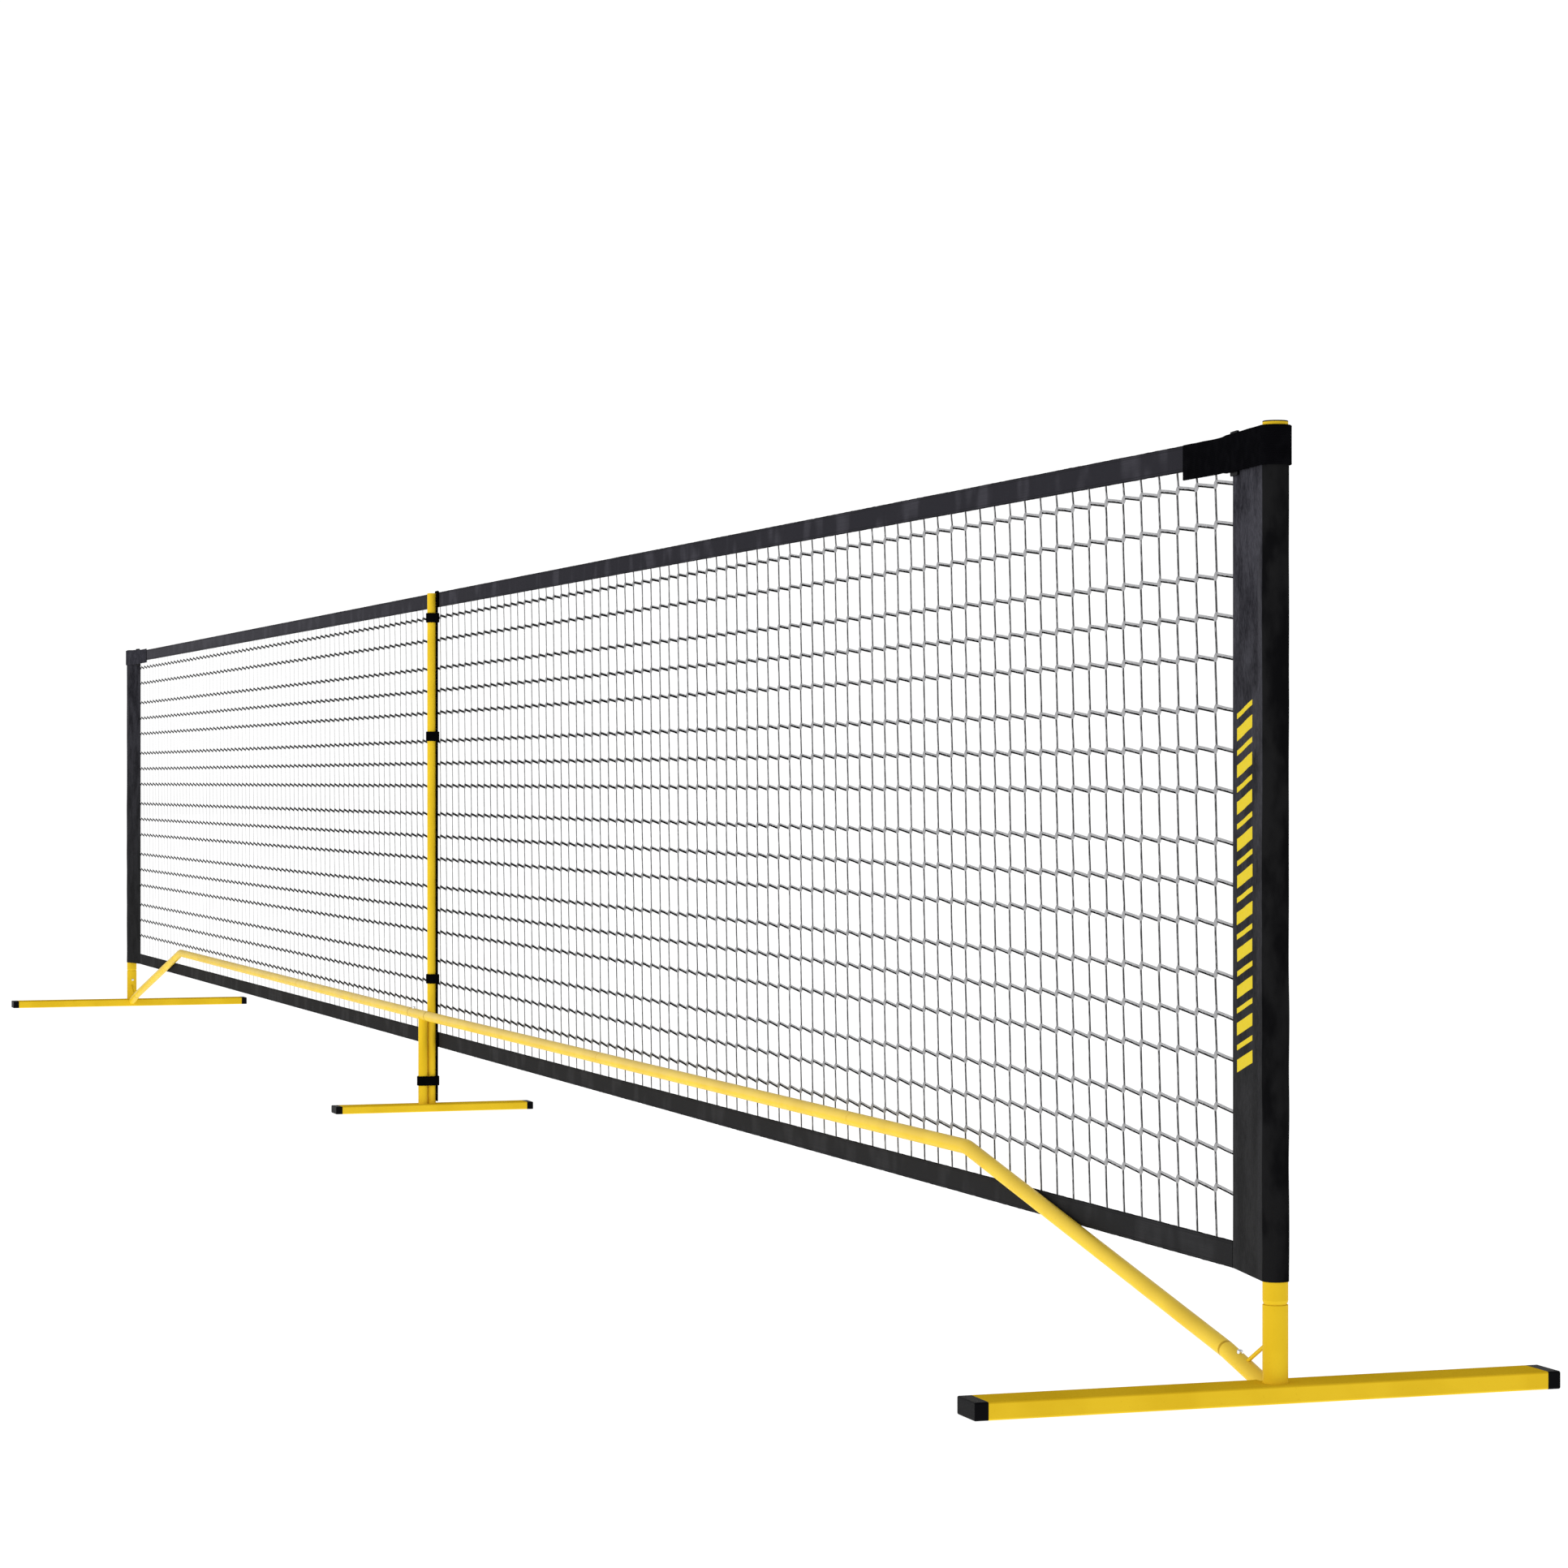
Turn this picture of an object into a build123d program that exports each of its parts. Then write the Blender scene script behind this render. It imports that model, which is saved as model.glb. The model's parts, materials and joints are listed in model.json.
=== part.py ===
from build123d import *
import math
import os

# Portable court net on a three-foot steel tube frame.
# +X runs along the net to the near end, +Z is up, millimetres.
# The origin is on the floor, midway between the two posts.

# --- driving dimensions --------------------------------------------------------------

# Overall
post_spacing = 6706.0          # 22 ft between the post axes
post_top = 911.2
band_top = 906.0               # top edge of the net
band_bottom = 111.0            # bottom edge of the net
net_y = 5.2                    # the net hangs just behind the middle of the posts

# Feet: rectangular tube with a flush cap at each end
foot_width = 45.0
foot_height = 17.0
foot_length = 595.5
near_foot_shift = -10.6        # a foot's middle, measured from the posts' line along Y
far_foot_shift = -4.7
centre_foot_width = 42.0
centre_foot_height = 12.9
centre_foot_length = 351.4
centre_foot_shift = -5.9
foot_wall = 1.5
foot_corner = 2.0
cap_head = 13.4                # length of a cap that shows beyond the tube
centre_cap_head = 11.2
cap_plug = 18.0                # length of a cap inside the tube
cap_edge = 1.2

# Posts and their sockets
post_radius = 12.0
post_wall = 1.2
socket_wall = 1.5
socket_top = 89.5
spigot_gap = 0.1               # radial gap between a necked end and its socket
post_spigot = 55.0             # how far the necked end of a post reaches down
shoulder_round = 0.8
post_seam_gap = 0.15
shoulder_length = 4.2          # a post is drawn in over this height above its socket
shoulder_depth = 1.3
plug_head = 1.2
plug_stem = 12.0

# Crossbar, in its own upright plane, u measured inward from the post axis
bar_radius = 8.4
bar_wall = 1.2
bar_base_y = -2.0              # where the crossbar's line crosses a foot
bar_joint_u = 101.0            # mouth of the inclined socket
bar_joint_z = 33.7
socket_slope = 14.5            # degrees
bar_slope = 11.23              # degrees
bar_bend_u = 774.0             # where the crossbar turns level
bar_bend_radius = 80.0
bar_spigot = 50.0
bar_mouth_gap = 0.6            # between the inclined socket and the tube's shoulder
neck_overlap = 4.0             # how far a neck runs back inside its own tube
bar_seams_u = (1150.0, 2240.0)  # joints between the three tubes of each half
bar_seam_gap = 0.7             # shows the neck as a dark line at each of these joints

# Centre stub, tee and pole
stub_radius = 8.0
pole_radius = 7.5
pole_x = -3.0                  # the pole, strap and ties stand just beyond the stub
pole_y = -7.4
pole_top = 904.0
pole_gap = 0.3                 # between the tee and the pole behind it
tee_arm_far = 88.0
tee_arm_near = 38.0
tee_near_neck = 30.0           # the near half reaches less far into the tee
tee_radius = 8.4

# Brace rod between an inclined socket and a post socket
brace_radius = 2.0
brace_low_u = 54.8
brace_high_z = 53.0
weld_bite = 2.0                # how deep the rod's ends start inside the tubes

# Snap buttons
button_radius = 3.0
button_gap = 0.1
button_proud = 3.0
flange_radius = 4.4
flange_thick = 1.0
spring_width = 6.0
spring_thick = 0.6
post_spring_reach = 26.0       # from the button to the spring's fold
bar_spring_reach = 14.0
post_button_z = 66.5
bar_button_back = 28.0         # behind the mouth of the inclined socket
tee_button_x = -70.0

# Net and its fabric
band_height = 26.2
band_thick = 2.0
mesh_thick = 0.6
seam_clear = 0.3
sleeve_flat = 103.0            # from a post axis to the free edge of its sleeve
sleeve_thick = 0.8
sleeve_clear = 0.2
sleeve_bottom = 111.3
sleeve_top_drop = 1.0          # below the corner strap's upper edge

# Centre strap and its ties
strap_half = 9.0
strap_front = 0.3
strap_back = 2.1
strap_over_foot = 4.0
tie_height = 16.5
tie_tops = (869.4, 662.4, 238.9, 61.2)
tie_gap = 0.5
tie_thick = 1.8
tab_gap = 0.3                  # between a tie and its free end
tab_inset = 0.5                # the free end is this much narrower at each edge
tab_thick = 1.4
tab_length = 11.0
hem_gap = 0.2                  # between the strap's hem and the top band behind it
strap_fold = 4.6               # the strap stands this far above the pole
pole_base_gap = 0.1

# Corner strap
corner_strap_low = 870.0
corner_strap_high = 907.0
corner_strap_thick = 1.9
ring_length = 25.0             # along the net
ring_low = 866.8
ring_high = 909.3
ring_bar = 3.8                 # width of the ring's bars
ring_thick = 2.0
ring_start = 0.5               # from the sleeve's free edge towards the post
ring_gap = 0.2                 # between the ring and the sleeve behind it
strap_lift = 3.6               # the strap stands this far off the band, over the ring
tail_length = 108.0
tail_low = 870.8
tail_high = 905.6
far_strap_lift = 2.7           # the far strap, its ring and its tail sit this much higher

# --- values worked out from them -----------------------------------------------------

half_span = post_spacing / 2
band_front = net_y - band_thick / 2
band_back = net_y + band_thick / 2
sleeve_edge_x = half_span - sleeve_flat
stub_y = pole_y - pole_radius - tee_radius - pole_gap
foot_side_u = foot_width / 2
bar_z = bar_joint_z + (bar_bend_u - bar_joint_u) * math.tan(math.radians(bar_slope))
bar_turn = math.degrees(math.atan((bar_base_y - stub_y) / (half_span - foot_side_u)))
post_hole = post_radius - socket_wall
post_neck = post_hole - spigot_gap
bar_hole = bar_radius - bar_wall
bar_neck = bar_hole - spigot_gap
neck_hole = bar_neck - bar_wall


def bar_u(x):
    """Distance along a crossbar half, from its post, of the place at a given |X|."""
    return foot_side_u + (half_span - foot_side_u - x) / math.cos(math.radians(bar_turn))


# The near crossbar's upright plane: u towards the centre, z up
bar_frame = Location((half_span, 0, 0)) * Location(
    Plane(
        origin=(-foot_side_u, bar_base_y, 0),
        x_dir=(-math.cos(math.radians(bar_turn)), -math.sin(math.radians(bar_turn)), 0),
        z_dir=(0, 0, 1),
    )
) * Location((-foot_side_u, 0, 0))


# --- helpers -------------------------------------------------------------------------

def rod(start, end, radius):
    """Solid round bar between two points."""
    line = Vector(*end) - Vector(*start)
    disc = Plane(origin=start, z_dir=line) * Circle(radius)
    return extrude(disc, line.length, dir=line.normalized())


def block(x, y, z):
    """Box from its three (low, high) ranges."""
    sides = [high - low for low, high in (x, y, z)]
    corner = [low for low, high in (x, y, z)]
    return Pos(*corner) * Box(*sides, align=(Align.MIN, Align.MIN, Align.MIN))


def mirrored(shape):
    """The same piece at the far end."""
    return mirror(shape, about=Plane.YZ)


def hull_ring(discs, gap, thick, low, high):
    """Closed band of fabric round a set of (centre, radius) discs."""
    outer = make_hull(*[Pos(x, y) * Circle(r + gap + thick) for (x, y), r in discs])
    inner = make_hull(*[Pos(x, y) * Circle(r + gap) for (x, y), r in discs])
    return Pos(0, 0, low) * extrude(outer - inner, high - low)


def make_hull(*shapes):
    """Flat face bounded by the convex outline of the shapes."""
    edges = [edge for shape in shapes for edge in shape.edges()]
    return make_face(Wire.make_convex_hull(edges))


# --- feet ----------------------------------------------------------------------------

def foot(middle_x, shift, width, height, length, head_length):
    """Rectangular tube lying across the net, and its two end caps."""
    tube_length = length - 2 * head_length
    middle = Pos(middle_x, shift, height / 2)
    section = RectangleRounded(width, height, foot_corner)
    inside = (width - 2 * foot_wall, height - 2 * foot_wall)
    hollow = RectangleRounded(*inside, foot_corner / 2)
    along = Plane(origin=(0, -tube_length / 2, 0), x_dir=(1, 0, 0), z_dir=(0, 1, 0))
    tube = middle * extrude(along * (section - hollow), tube_length)
    head = extrude(along * section, -head_length)
    head = fillet(head.faces().sort_by(Axis.Y)[0].edges(), cap_edge)
    plug = RectangleRounded(*(side - 2 * spigot_gap for side in inside), foot_corner / 2)
    front = head + extrude(along * plug, cap_plug)
    back = mirror(front, about=Plane.XZ)
    return tube, Compound([middle * front, middle * back])


# --- posts ---------------------------------------------------------------------------

def post_socket(drill):
    """Upright socket welded on a foot, with its button hole."""
    outer = rod((half_span, 0, foot_height), (half_span, 0, socket_top), post_radius)
    inner = rod((half_span, 0, foot_height), (half_span, 0, socket_top), post_hole)
    return outer - inner - drill


def drawn_in_rod(low, high):
    """Solid upright bar on the post axis, rounded inward over its lowest few millimetres."""
    waist = post_radius - shoulder_depth
    swell = (post_radius - shoulder_depth / 4, 0, low + shoulder_length / 2)
    shoulder = ThreePointArc((waist, 0, low), swell, (post_radius, 0, low + shoulder_length))
    rest = Polyline(
        (post_radius, 0, low + shoulder_length),
        (post_radius, 0, high),
        (0, 0, high),
        (0, 0, low),
        (waist, 0, low),
    )
    outline = make_face(Wire([shoulder, *rest.edges()]))
    return Pos(half_span, 0) * revolve(outline, Axis.Z)


def post(drill):
    """Tube drawn in at its lower end, with a neck that stands in the socket."""
    tube_low = socket_top + post_seam_gap
    tube_high = post_top - plug_head
    neck_low = socket_top - post_spigot
    bore_low = tube_low + shoulder_length
    wall_inside = post_radius - post_wall
    neck_inside = post_neck - post_wall
    body = drawn_in_rod(tube_low, tube_high)
    neck = rod((half_span, 0, neck_low), (half_span, 0, bore_low), post_neck)
    bore = rod((half_span, 0, bore_low), (half_span, 0, tube_high), wall_inside)
    neck_bore = rod((half_span, 0, neck_low), (half_span, 0, bore_low), neck_inside)
    return body + neck - bore - neck_bore - drill


def post_plug():
    """Push-in plug that closes the top of a post."""
    low = post_top - plug_head
    head = rod((half_span, 0, low), (half_span, 0, post_top), post_radius)
    head = fillet(head.edges().sort_by(Axis.Z)[-1], plug_head / 2)
    stem_radius = post_radius - post_wall - spigot_gap
    return head + rod((half_span, 0, low - plug_stem), (half_span, 0, low), stem_radius)


# --- snap buttons --------------------------------------------------------------------
# Each button is built pointing up +Z on a tube whose axis is the line z = 0 along +X,
# with its leaf spring reaching back along -X, then it is placed.

def snap_button(outer_radius, neck_bore):
    """Domed pin with a flange that stops it under the necked tube's wall."""
    top = outer_radius + button_proud
    pin = rod((0, 0, neck_bore - flange_thick), (0, 0, top), button_radius)
    pin = fillet(pin.edges().sort_by(Axis.Z)[-1], button_radius * 0.6)
    flange = rod((0, 0, 0), (0, 0, flange_thick), flange_radius)
    seat = math.sqrt(neck_bore**2 - flange_radius**2) - flange_thick - 2 * spigot_gap
    pin = pin + rod((0, 0, seat), (0, 0, neck_bore), button_radius)
    return pin + Pos(0, 0, seat) * flange


def leaf_spring(neck_bore, length):
    """Strip folded back on itself, pressing the button out from the far wall."""
    seat = math.sqrt(neck_bore**2 - flange_radius**2) - flange_thick - 2 * spigot_gap
    wall = math.sqrt(neck_bore**2 - (spring_width / 2) ** 2) - 2 * spigot_gap
    top = seat - spigot_gap
    bend = spring_thick
    outline = Polyline(
        (flange_radius, top),
        (-length, bend),
        (-length, -bend),
        (0, -wall),
        (0, -wall + spring_thick),
        (-length + 2 * spring_thick, -bend / 2),
        (-length + 2 * spring_thick, bend / 2),
        (flange_radius, top - spring_thick),
        close=True,
    )
    side = Plane(origin=(0, -spring_width / 2, 0), x_dir=(1, 0, 0), z_dir=(0, -1, 0))
    strip = extrude(side * make_face(outline), -spring_width)
    return strip


def button_drill(outer_radius):
    """Hole for a button through both tube walls."""
    return rod((0, 0, 0), (0, 0, outer_radius + button_proud), button_radius + button_gap)


# Where each button stands: its origin on the tube's axis, +X along the tube into the
# post or bar, and +Z the way the button points.
post_button_place = Location(
    Plane(origin=(half_span, 0, post_button_z), x_dir=(0, 0, 1), z_dir=(-1, 0, 0))
)
bar_button_u = bar_joint_u - bar_button_back * math.cos(math.radians(socket_slope))
bar_button_z = bar_joint_z - bar_button_back * math.sin(math.radians(socket_slope))
bar_button_place = bar_frame * Location(
    Plane(
        origin=(bar_button_u, 0, bar_button_z),
        x_dir=(math.cos(math.radians(socket_slope)), 0, math.sin(math.radians(socket_slope))),
        z_dir=(-math.sin(math.radians(socket_slope)), 0, math.cos(math.radians(socket_slope))),
    )
)
tee_button_place = (
    Location((0, stub_y, bar_z))
    * Location((0, 0, 0), (0, 0, -bar_turn))
    * Location(Plane(origin=(tee_button_x, 0, 0), x_dir=(-1, 0, 0), z_dir=(0, 0, 1)))
)


# --- crossbar ------------------------------------------------------------------------

def inclined_rod(radius):
    """Solid rod on the inclined socket's axis, from the post axis to the socket's mouth."""
    root_z = bar_joint_z - bar_joint_u * math.tan(math.radians(socket_slope))
    return bar_frame * rod((0, 0, root_z), (bar_joint_u, 0, bar_joint_z), radius)


def post_blank():
    """The space a post socket fills."""
    return rod((half_span, 0, 0), (half_span, 0, socket_top), post_radius)


def bar_socket(drill):
    """Inclined socket welded to a foot's inner side and coped to the post socket."""
    foot_block = block(
        (half_span - foot_width / 2, half_span + foot_width),
        (-foot_width, foot_width),
        (-foot_height, foot_height),
    )
    return inclined_rod(bar_radius) - inclined_rod(bar_hole) - foot_block - post_blank() - drill


def brace_rod():
    """Thin rod tying the inclined socket to the post socket."""
    slope = math.radians(socket_slope)
    low_z = bar_joint_z - (bar_joint_u - brace_low_u) * math.tan(slope)
    top_z = low_z + (bar_radius - weld_bite / 2) / math.cos(slope)
    ends = ((brace_low_u, 0, top_z), (post_radius - weld_bite, 0, brace_high_z))
    return bar_frame * rod(*ends, brace_radius) - inclined_rod(bar_radius) - post_blank()


def bar_outer_tube(drill):
    """First tube of a half crossbar: necked, inclined, then bent level."""
    slope = math.radians(bar_slope)
    tilt = math.radians(socket_slope)
    start = Vector(
        bar_joint_u + bar_mouth_gap,
        0,
        bar_joint_z + bar_mouth_gap * math.tan(slope),
    )
    bend = Vector(bar_bend_u, 0, bar_z)
    tangent = bar_bend_radius * math.tan(slope / 2)
    before = bend - Vector(math.cos(slope), 0, math.sin(slope)) * tangent
    after = bend + Vector(tangent, 0, 0)
    middle = bend + Vector(math.sin(slope / 2), 0, -math.cos(slope / 2)) * (
        bar_bend_radius * (1 / math.cos(slope / 2) - 1)
    )
    end = Vector(bar_seams_u[0], 0, bar_z)
    path = Wire([Line(start, before), ThreePointArc(before, middle, after), Line(after, end)])
    upright = Plane(origin=start, z_dir=before - start)
    tube = sweep(upright * Circle(bar_radius), path)
    tube = fillet(tube.edges().filter_by(GeomType.CIRCLE).sort_by(Axis.X)[0], shoulder_round)
    bore = sweep(upright * Circle(bar_hole), path)
    neck_end = (
        bar_joint_u - bar_spigot * math.cos(tilt),
        0,
        bar_joint_z - bar_spigot * math.sin(tilt),
    )
    neck_in = (
        bar_joint_u + neck_overlap,
        0,
        bar_joint_z + neck_overlap * math.tan(tilt),
    )
    neck = rod(neck_end, neck_in, bar_neck)
    neck_bore = rod(neck_end, neck_in, neck_hole)
    return bar_frame * (tube - bore + neck - neck_bore) - drill


def straight_bar(low_u, high_u, high_neck=0):
    """Level tube between two places, necked at its low end and perhaps at its high one."""
    low = (low_u + bar_seam_gap, 0, bar_z)
    high = (high_u - bar_seam_gap, 0, bar_z)
    tube = rod(low, high, bar_radius)
    bore = rod(low, high, bar_hole)
    ends = tube.edges().filter_by(GeomType.CIRCLE).sort_by(Axis.X)
    if high_neck:
        tube = fillet(ends[-1], shoulder_round)
    body = tube - bore
    for place, way, length in ((low, -1, bar_spigot), (high, 1, high_neck)):
        if length:
            start = (place[0] - way * neck_overlap, 0, bar_z)
            tip = (place[0] + way * length, 0, bar_z)
            neck = rod(start, tip, bar_neck) - rod(start, tip, neck_hole)
            collar = rod(start, place, bar_radius - shoulder_round) - rod(start, place, neck_hole)
            body = body + neck + collar
    return bar_frame * body


# --- centre --------------------------------------------------------------------------

def centre_stub():
    """Short upright welded on the centre foot, coped to the tee above."""
    low = (0, stub_y, centre_foot_height)
    high = (0, stub_y, bar_z)
    tube = rod(low, high, stub_radius) - rod(low, high, stub_radius - post_wall)
    return tube - tee_blank(tee_radius)


def tee_blank(radius):
    """Both arms of the tee as solid rods, each along its own half of the crossbar."""
    turn = math.radians(bar_turn)
    middle = (0, stub_y, bar_z)
    near = (tee_arm_near, stub_y + tee_arm_near * math.tan(turn), bar_z)
    far = (-tee_arm_far, stub_y + tee_arm_far * math.tan(turn), bar_z)
    return rod(middle, near, radius) + rod(middle, far, radius) + Pos(*middle) * Sphere(radius)


def tee_sleeve(drill):
    """Sleeve on the stub that takes the necked inner ends of both crossbar halves."""
    return tee_blank(tee_radius) - tee_blank(bar_hole) - drill


def centre_pole():
    """Loose upright tube that holds the net up at the middle."""
    low = (pole_x, pole_y, centre_foot_height + pole_base_gap)
    high = (pole_x, pole_y, pole_top)
    return rod(low, high, pole_radius) - rod(low, high, pole_radius - post_wall)


# --- net -----------------------------------------------------------------------------

def net_band(low):
    """Webbing that binds one long edge of the net."""
    reach = sleeve_edge_x - seam_clear
    return block((-reach, reach), (band_front, band_back), (low, low + band_height))


def net_mesh():
    """The knotless netting as one thin sheet."""
    reach = sleeve_edge_x - seam_clear
    return block(
        (-reach, reach),
        (net_y - mesh_thick / 2, net_y + mesh_thick / 2),
        (band_bottom + band_height + seam_clear, band_top - band_height - seam_clear),
    )


def sleeve_outline(gap):
    """Plan of the sleeve round a post: a loop that closes flat on the net's edge."""
    return make_hull(
        Pos(half_span, 0) * Circle(post_radius + gap),
        Pos(sleeve_edge_x + gap, net_y) * Circle(gap),
    )


def post_sleeve():
    """Fabric pocket that slips over a post."""
    outer = sleeve_outline(sleeve_clear + sleeve_thick)
    hole = Pos(half_span, 0) * Circle(post_radius + sleeve_clear)
    height = corner_strap_high - sleeve_top_drop - sleeve_bottom
    return Pos(0, 0, sleeve_bottom) * extrude(outer - hole, height)


# Frame of the corner strap's front layer: x towards the post, y out towards the front
flat_angle = math.degrees(math.atan2(-(post_radius + net_y), sleeve_flat))
corner_frame = Location((sleeve_edge_x, band_front, 0)) * Location((0, 0, 0), (0, 0, flat_angle))


def strap_loop(lift):
    """Plan of the strap's inner or outer face, lifted off the sleeve to clear the ring."""
    return make_hull(
        Pos(half_span, 0) * Circle(post_radius + sleeve_clear + sleeve_thick + lift),
        Pos(sleeve_edge_x, net_y) * Circle(band_thick / 2 + strap_lift - seam_clear + lift),
    )


def corner_strap():
    """Webbing round the sleeve and post, open at the sleeve's free edge."""
    loop = strap_loop(seam_clear + corner_strap_thick) - strap_loop(seam_clear)
    solid = Pos(0, 0, corner_strap_low) * extrude(loop, corner_strap_high - corner_strap_low)
    span = 3 * post_radius
    return solid - block((0, sleeve_edge_x + seam_clear), (-span, span), (0, post_top))


def strap_ring():
    """Rectangular ring between the sleeve and the strap, with its ends standing proud."""
    height = ring_high - ring_low
    middle = Pos(
        ring_start + ring_length / 2,
        -(ring_thick / 2 + ring_gap),
        (ring_low + ring_high) / 2,
    )
    plate = RectangleRounded(ring_length, height, ring_thick) - Rectangle(
        ring_length - 2 * ring_bar, height - 2 * ring_bar
    )
    standing = Plane(origin=(0, ring_thick / 2, 0), x_dir=(1, 0, 0), z_dir=(0, -1, 0))
    return corner_frame * (middle * extrude(standing * plate, ring_thick))


def strap_tail():
    """Free end of the corner strap, held on the band by hook and loop."""
    thick = corner_strap_thick
    hinge = Pos(sleeve_edge_x - thick / 2, band_front - strap_lift - thick / 2)
    lean = math.degrees(math.asin((strap_lift - seam_clear) / tail_length))
    outline = Pos(-tail_length / 2, 0) * Rectangle(tail_length, thick) + Circle(thick / 2)
    outline = hinge * Rot(0, 0, -lean) * outline
    return Pos(0, 0, tail_low) * extrude(outline, tail_high - tail_low)


def centre_strap():
    """Webbing down the middle of the net, behind the pole, with a hem on the top band."""
    low = centre_foot_height + strap_over_foot
    high = pole_top + strap_fold
    across = (pole_x - strap_half, pole_x + strap_half)
    layer = block(across, (strap_front, strap_back), (low, high))
    hem = block(across, (strap_back, band_front - hem_gap), (band_top - band_height, high))
    return layer + hem


# --- ties ----------------------------------------------------------------------------

tab_x = pole_x - (strap_half + tie_gap + tie_thick + tab_gap + tab_thick / 2)


def tie(top, with_stub):
    """Hook-and-loop tie closed round the pole and the strap behind it."""
    corner = tie_gap
    discs = [((pole_x, pole_y), pole_radius)]
    for side in (-1, 1):
        discs.append(((pole_x + side * (strap_half - corner), strap_back - corner), corner))
    if with_stub:
        discs.append(((0, stub_y), stub_radius))
    return hull_ring(discs, tie_gap, tie_thick, top - tie_height, top)


def tie_tab(top):
    """Free end of a tie, lapped on the tie's side and hinged at its front end."""
    front = strap_back - tab_length
    outline = Pos(tab_x, strap_back - tab_length / 2) * Rectangle(tab_thick, tab_length)
    outline = outline + Pos(tab_x, front) * Circle(tab_thick / 2)
    low = top - tie_height + tab_inset
    return Pos(0, 0, low) * extrude(outline, tie_height - 2 * tab_inset)


# --- writing the pieces --------------------------------------------------------------

def build():
    pieces = {}
    post_drill = post_button_place * button_drill(post_radius)
    bar_drill = bar_button_place * button_drill(bar_radius)
    tee_drill = tee_button_place * button_drill(tee_radius)

    end_size = (foot_width, foot_height, foot_length, cap_head)
    for end, x, shift in (("near", half_span, near_foot_shift), ("far", -half_span, far_foot_shift)):
        tube, caps = foot(x, shift, *end_size)
        pieces[end + "_foot_tube"] = tube
        pieces[end + "_foot_caps"] = caps

    near = {}
    near["post_socket"] = post_socket(post_drill)
    near["post"] = post(post_drill)
    near["post_plug"] = post_plug()
    near["post_button"] = post_button_place * snap_button(post_radius, post_neck - post_wall)
    post_spring = leaf_spring(post_neck - post_wall, post_spring_reach)
    near["post_button_spring"] = post_button_place * post_spring
    near["bar_socket"] = bar_socket(bar_drill)
    near["bar_button"] = bar_button_place * snap_button(bar_radius, neck_hole)
    near["bar_button_spring"] = bar_button_place * leaf_spring(neck_hole, bar_spring_reach)
    near["brace_rod"] = brace_rod()
    near["bar_outer_tube"] = bar_outer_tube(bar_drill)
    near["bar_middle_tube"] = straight_bar(*bar_seams_u)
    near["sleeve"] = post_sleeve()
    near["corner_strap"] = corner_strap()
    near["strap_ring"] = strap_ring()
    near["strap_tail"] = strap_tail()
    for name, shape in near.items():
        lift = far_strap_lift if name in ("corner_strap", "strap_ring", "strap_tail") else 0
        pieces["near_" + name] = shape
        pieces["far_" + name] = Pos(0, 0, lift) * mirrored(shape)

    inner_near = straight_bar(bar_seams_u[1], bar_u(tee_arm_near), tee_near_neck)
    inner_far = straight_bar(bar_seams_u[1], bar_u(tee_arm_far), bar_spigot)
    pieces["near_bar_inner_tube"] = inner_near
    pieces["far_bar_inner_tube"] = mirrored(inner_far) - tee_drill

    centre_size = (centre_foot_width, centre_foot_height, centre_foot_length, centre_cap_head)
    tube, caps = foot(0, centre_foot_shift, *centre_size)
    pieces["centre_foot_tube"] = tube
    pieces["centre_foot_caps"] = caps
    pieces["centre_stub"] = centre_stub()
    pieces["tee_sleeve"] = tee_sleeve(tee_drill)
    pieces["tee_button"] = tee_button_place * snap_button(tee_radius, neck_hole)
    pieces["tee_button_spring"] = tee_button_place * leaf_spring(neck_hole, bar_spring_reach)
    pieces["centre_pole"] = centre_pole()

    pieces["net_mesh"] = net_mesh()
    pieces["top_band"] = net_band(band_top - band_height)
    pieces["bottom_band"] = net_band(band_bottom)
    pieces["centre_strap"] = centre_strap()
    for number, top in enumerate(tie_tops, start=1):
        with_stub = number == len(tie_tops)
        pieces[f"tie_{number}"] = tie(top, with_stub)
        pieces[f"tie_tab_{number}"] = tie_tab(top)
    return pieces


os.makedirs("parts", exist_ok=True)
for name, shape in build().items():
    export_step(shape, f"parts/{name}.step")
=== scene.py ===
import json
import math
from itertools import cycle

import bmesh
import bpy
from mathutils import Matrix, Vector, noise


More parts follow.
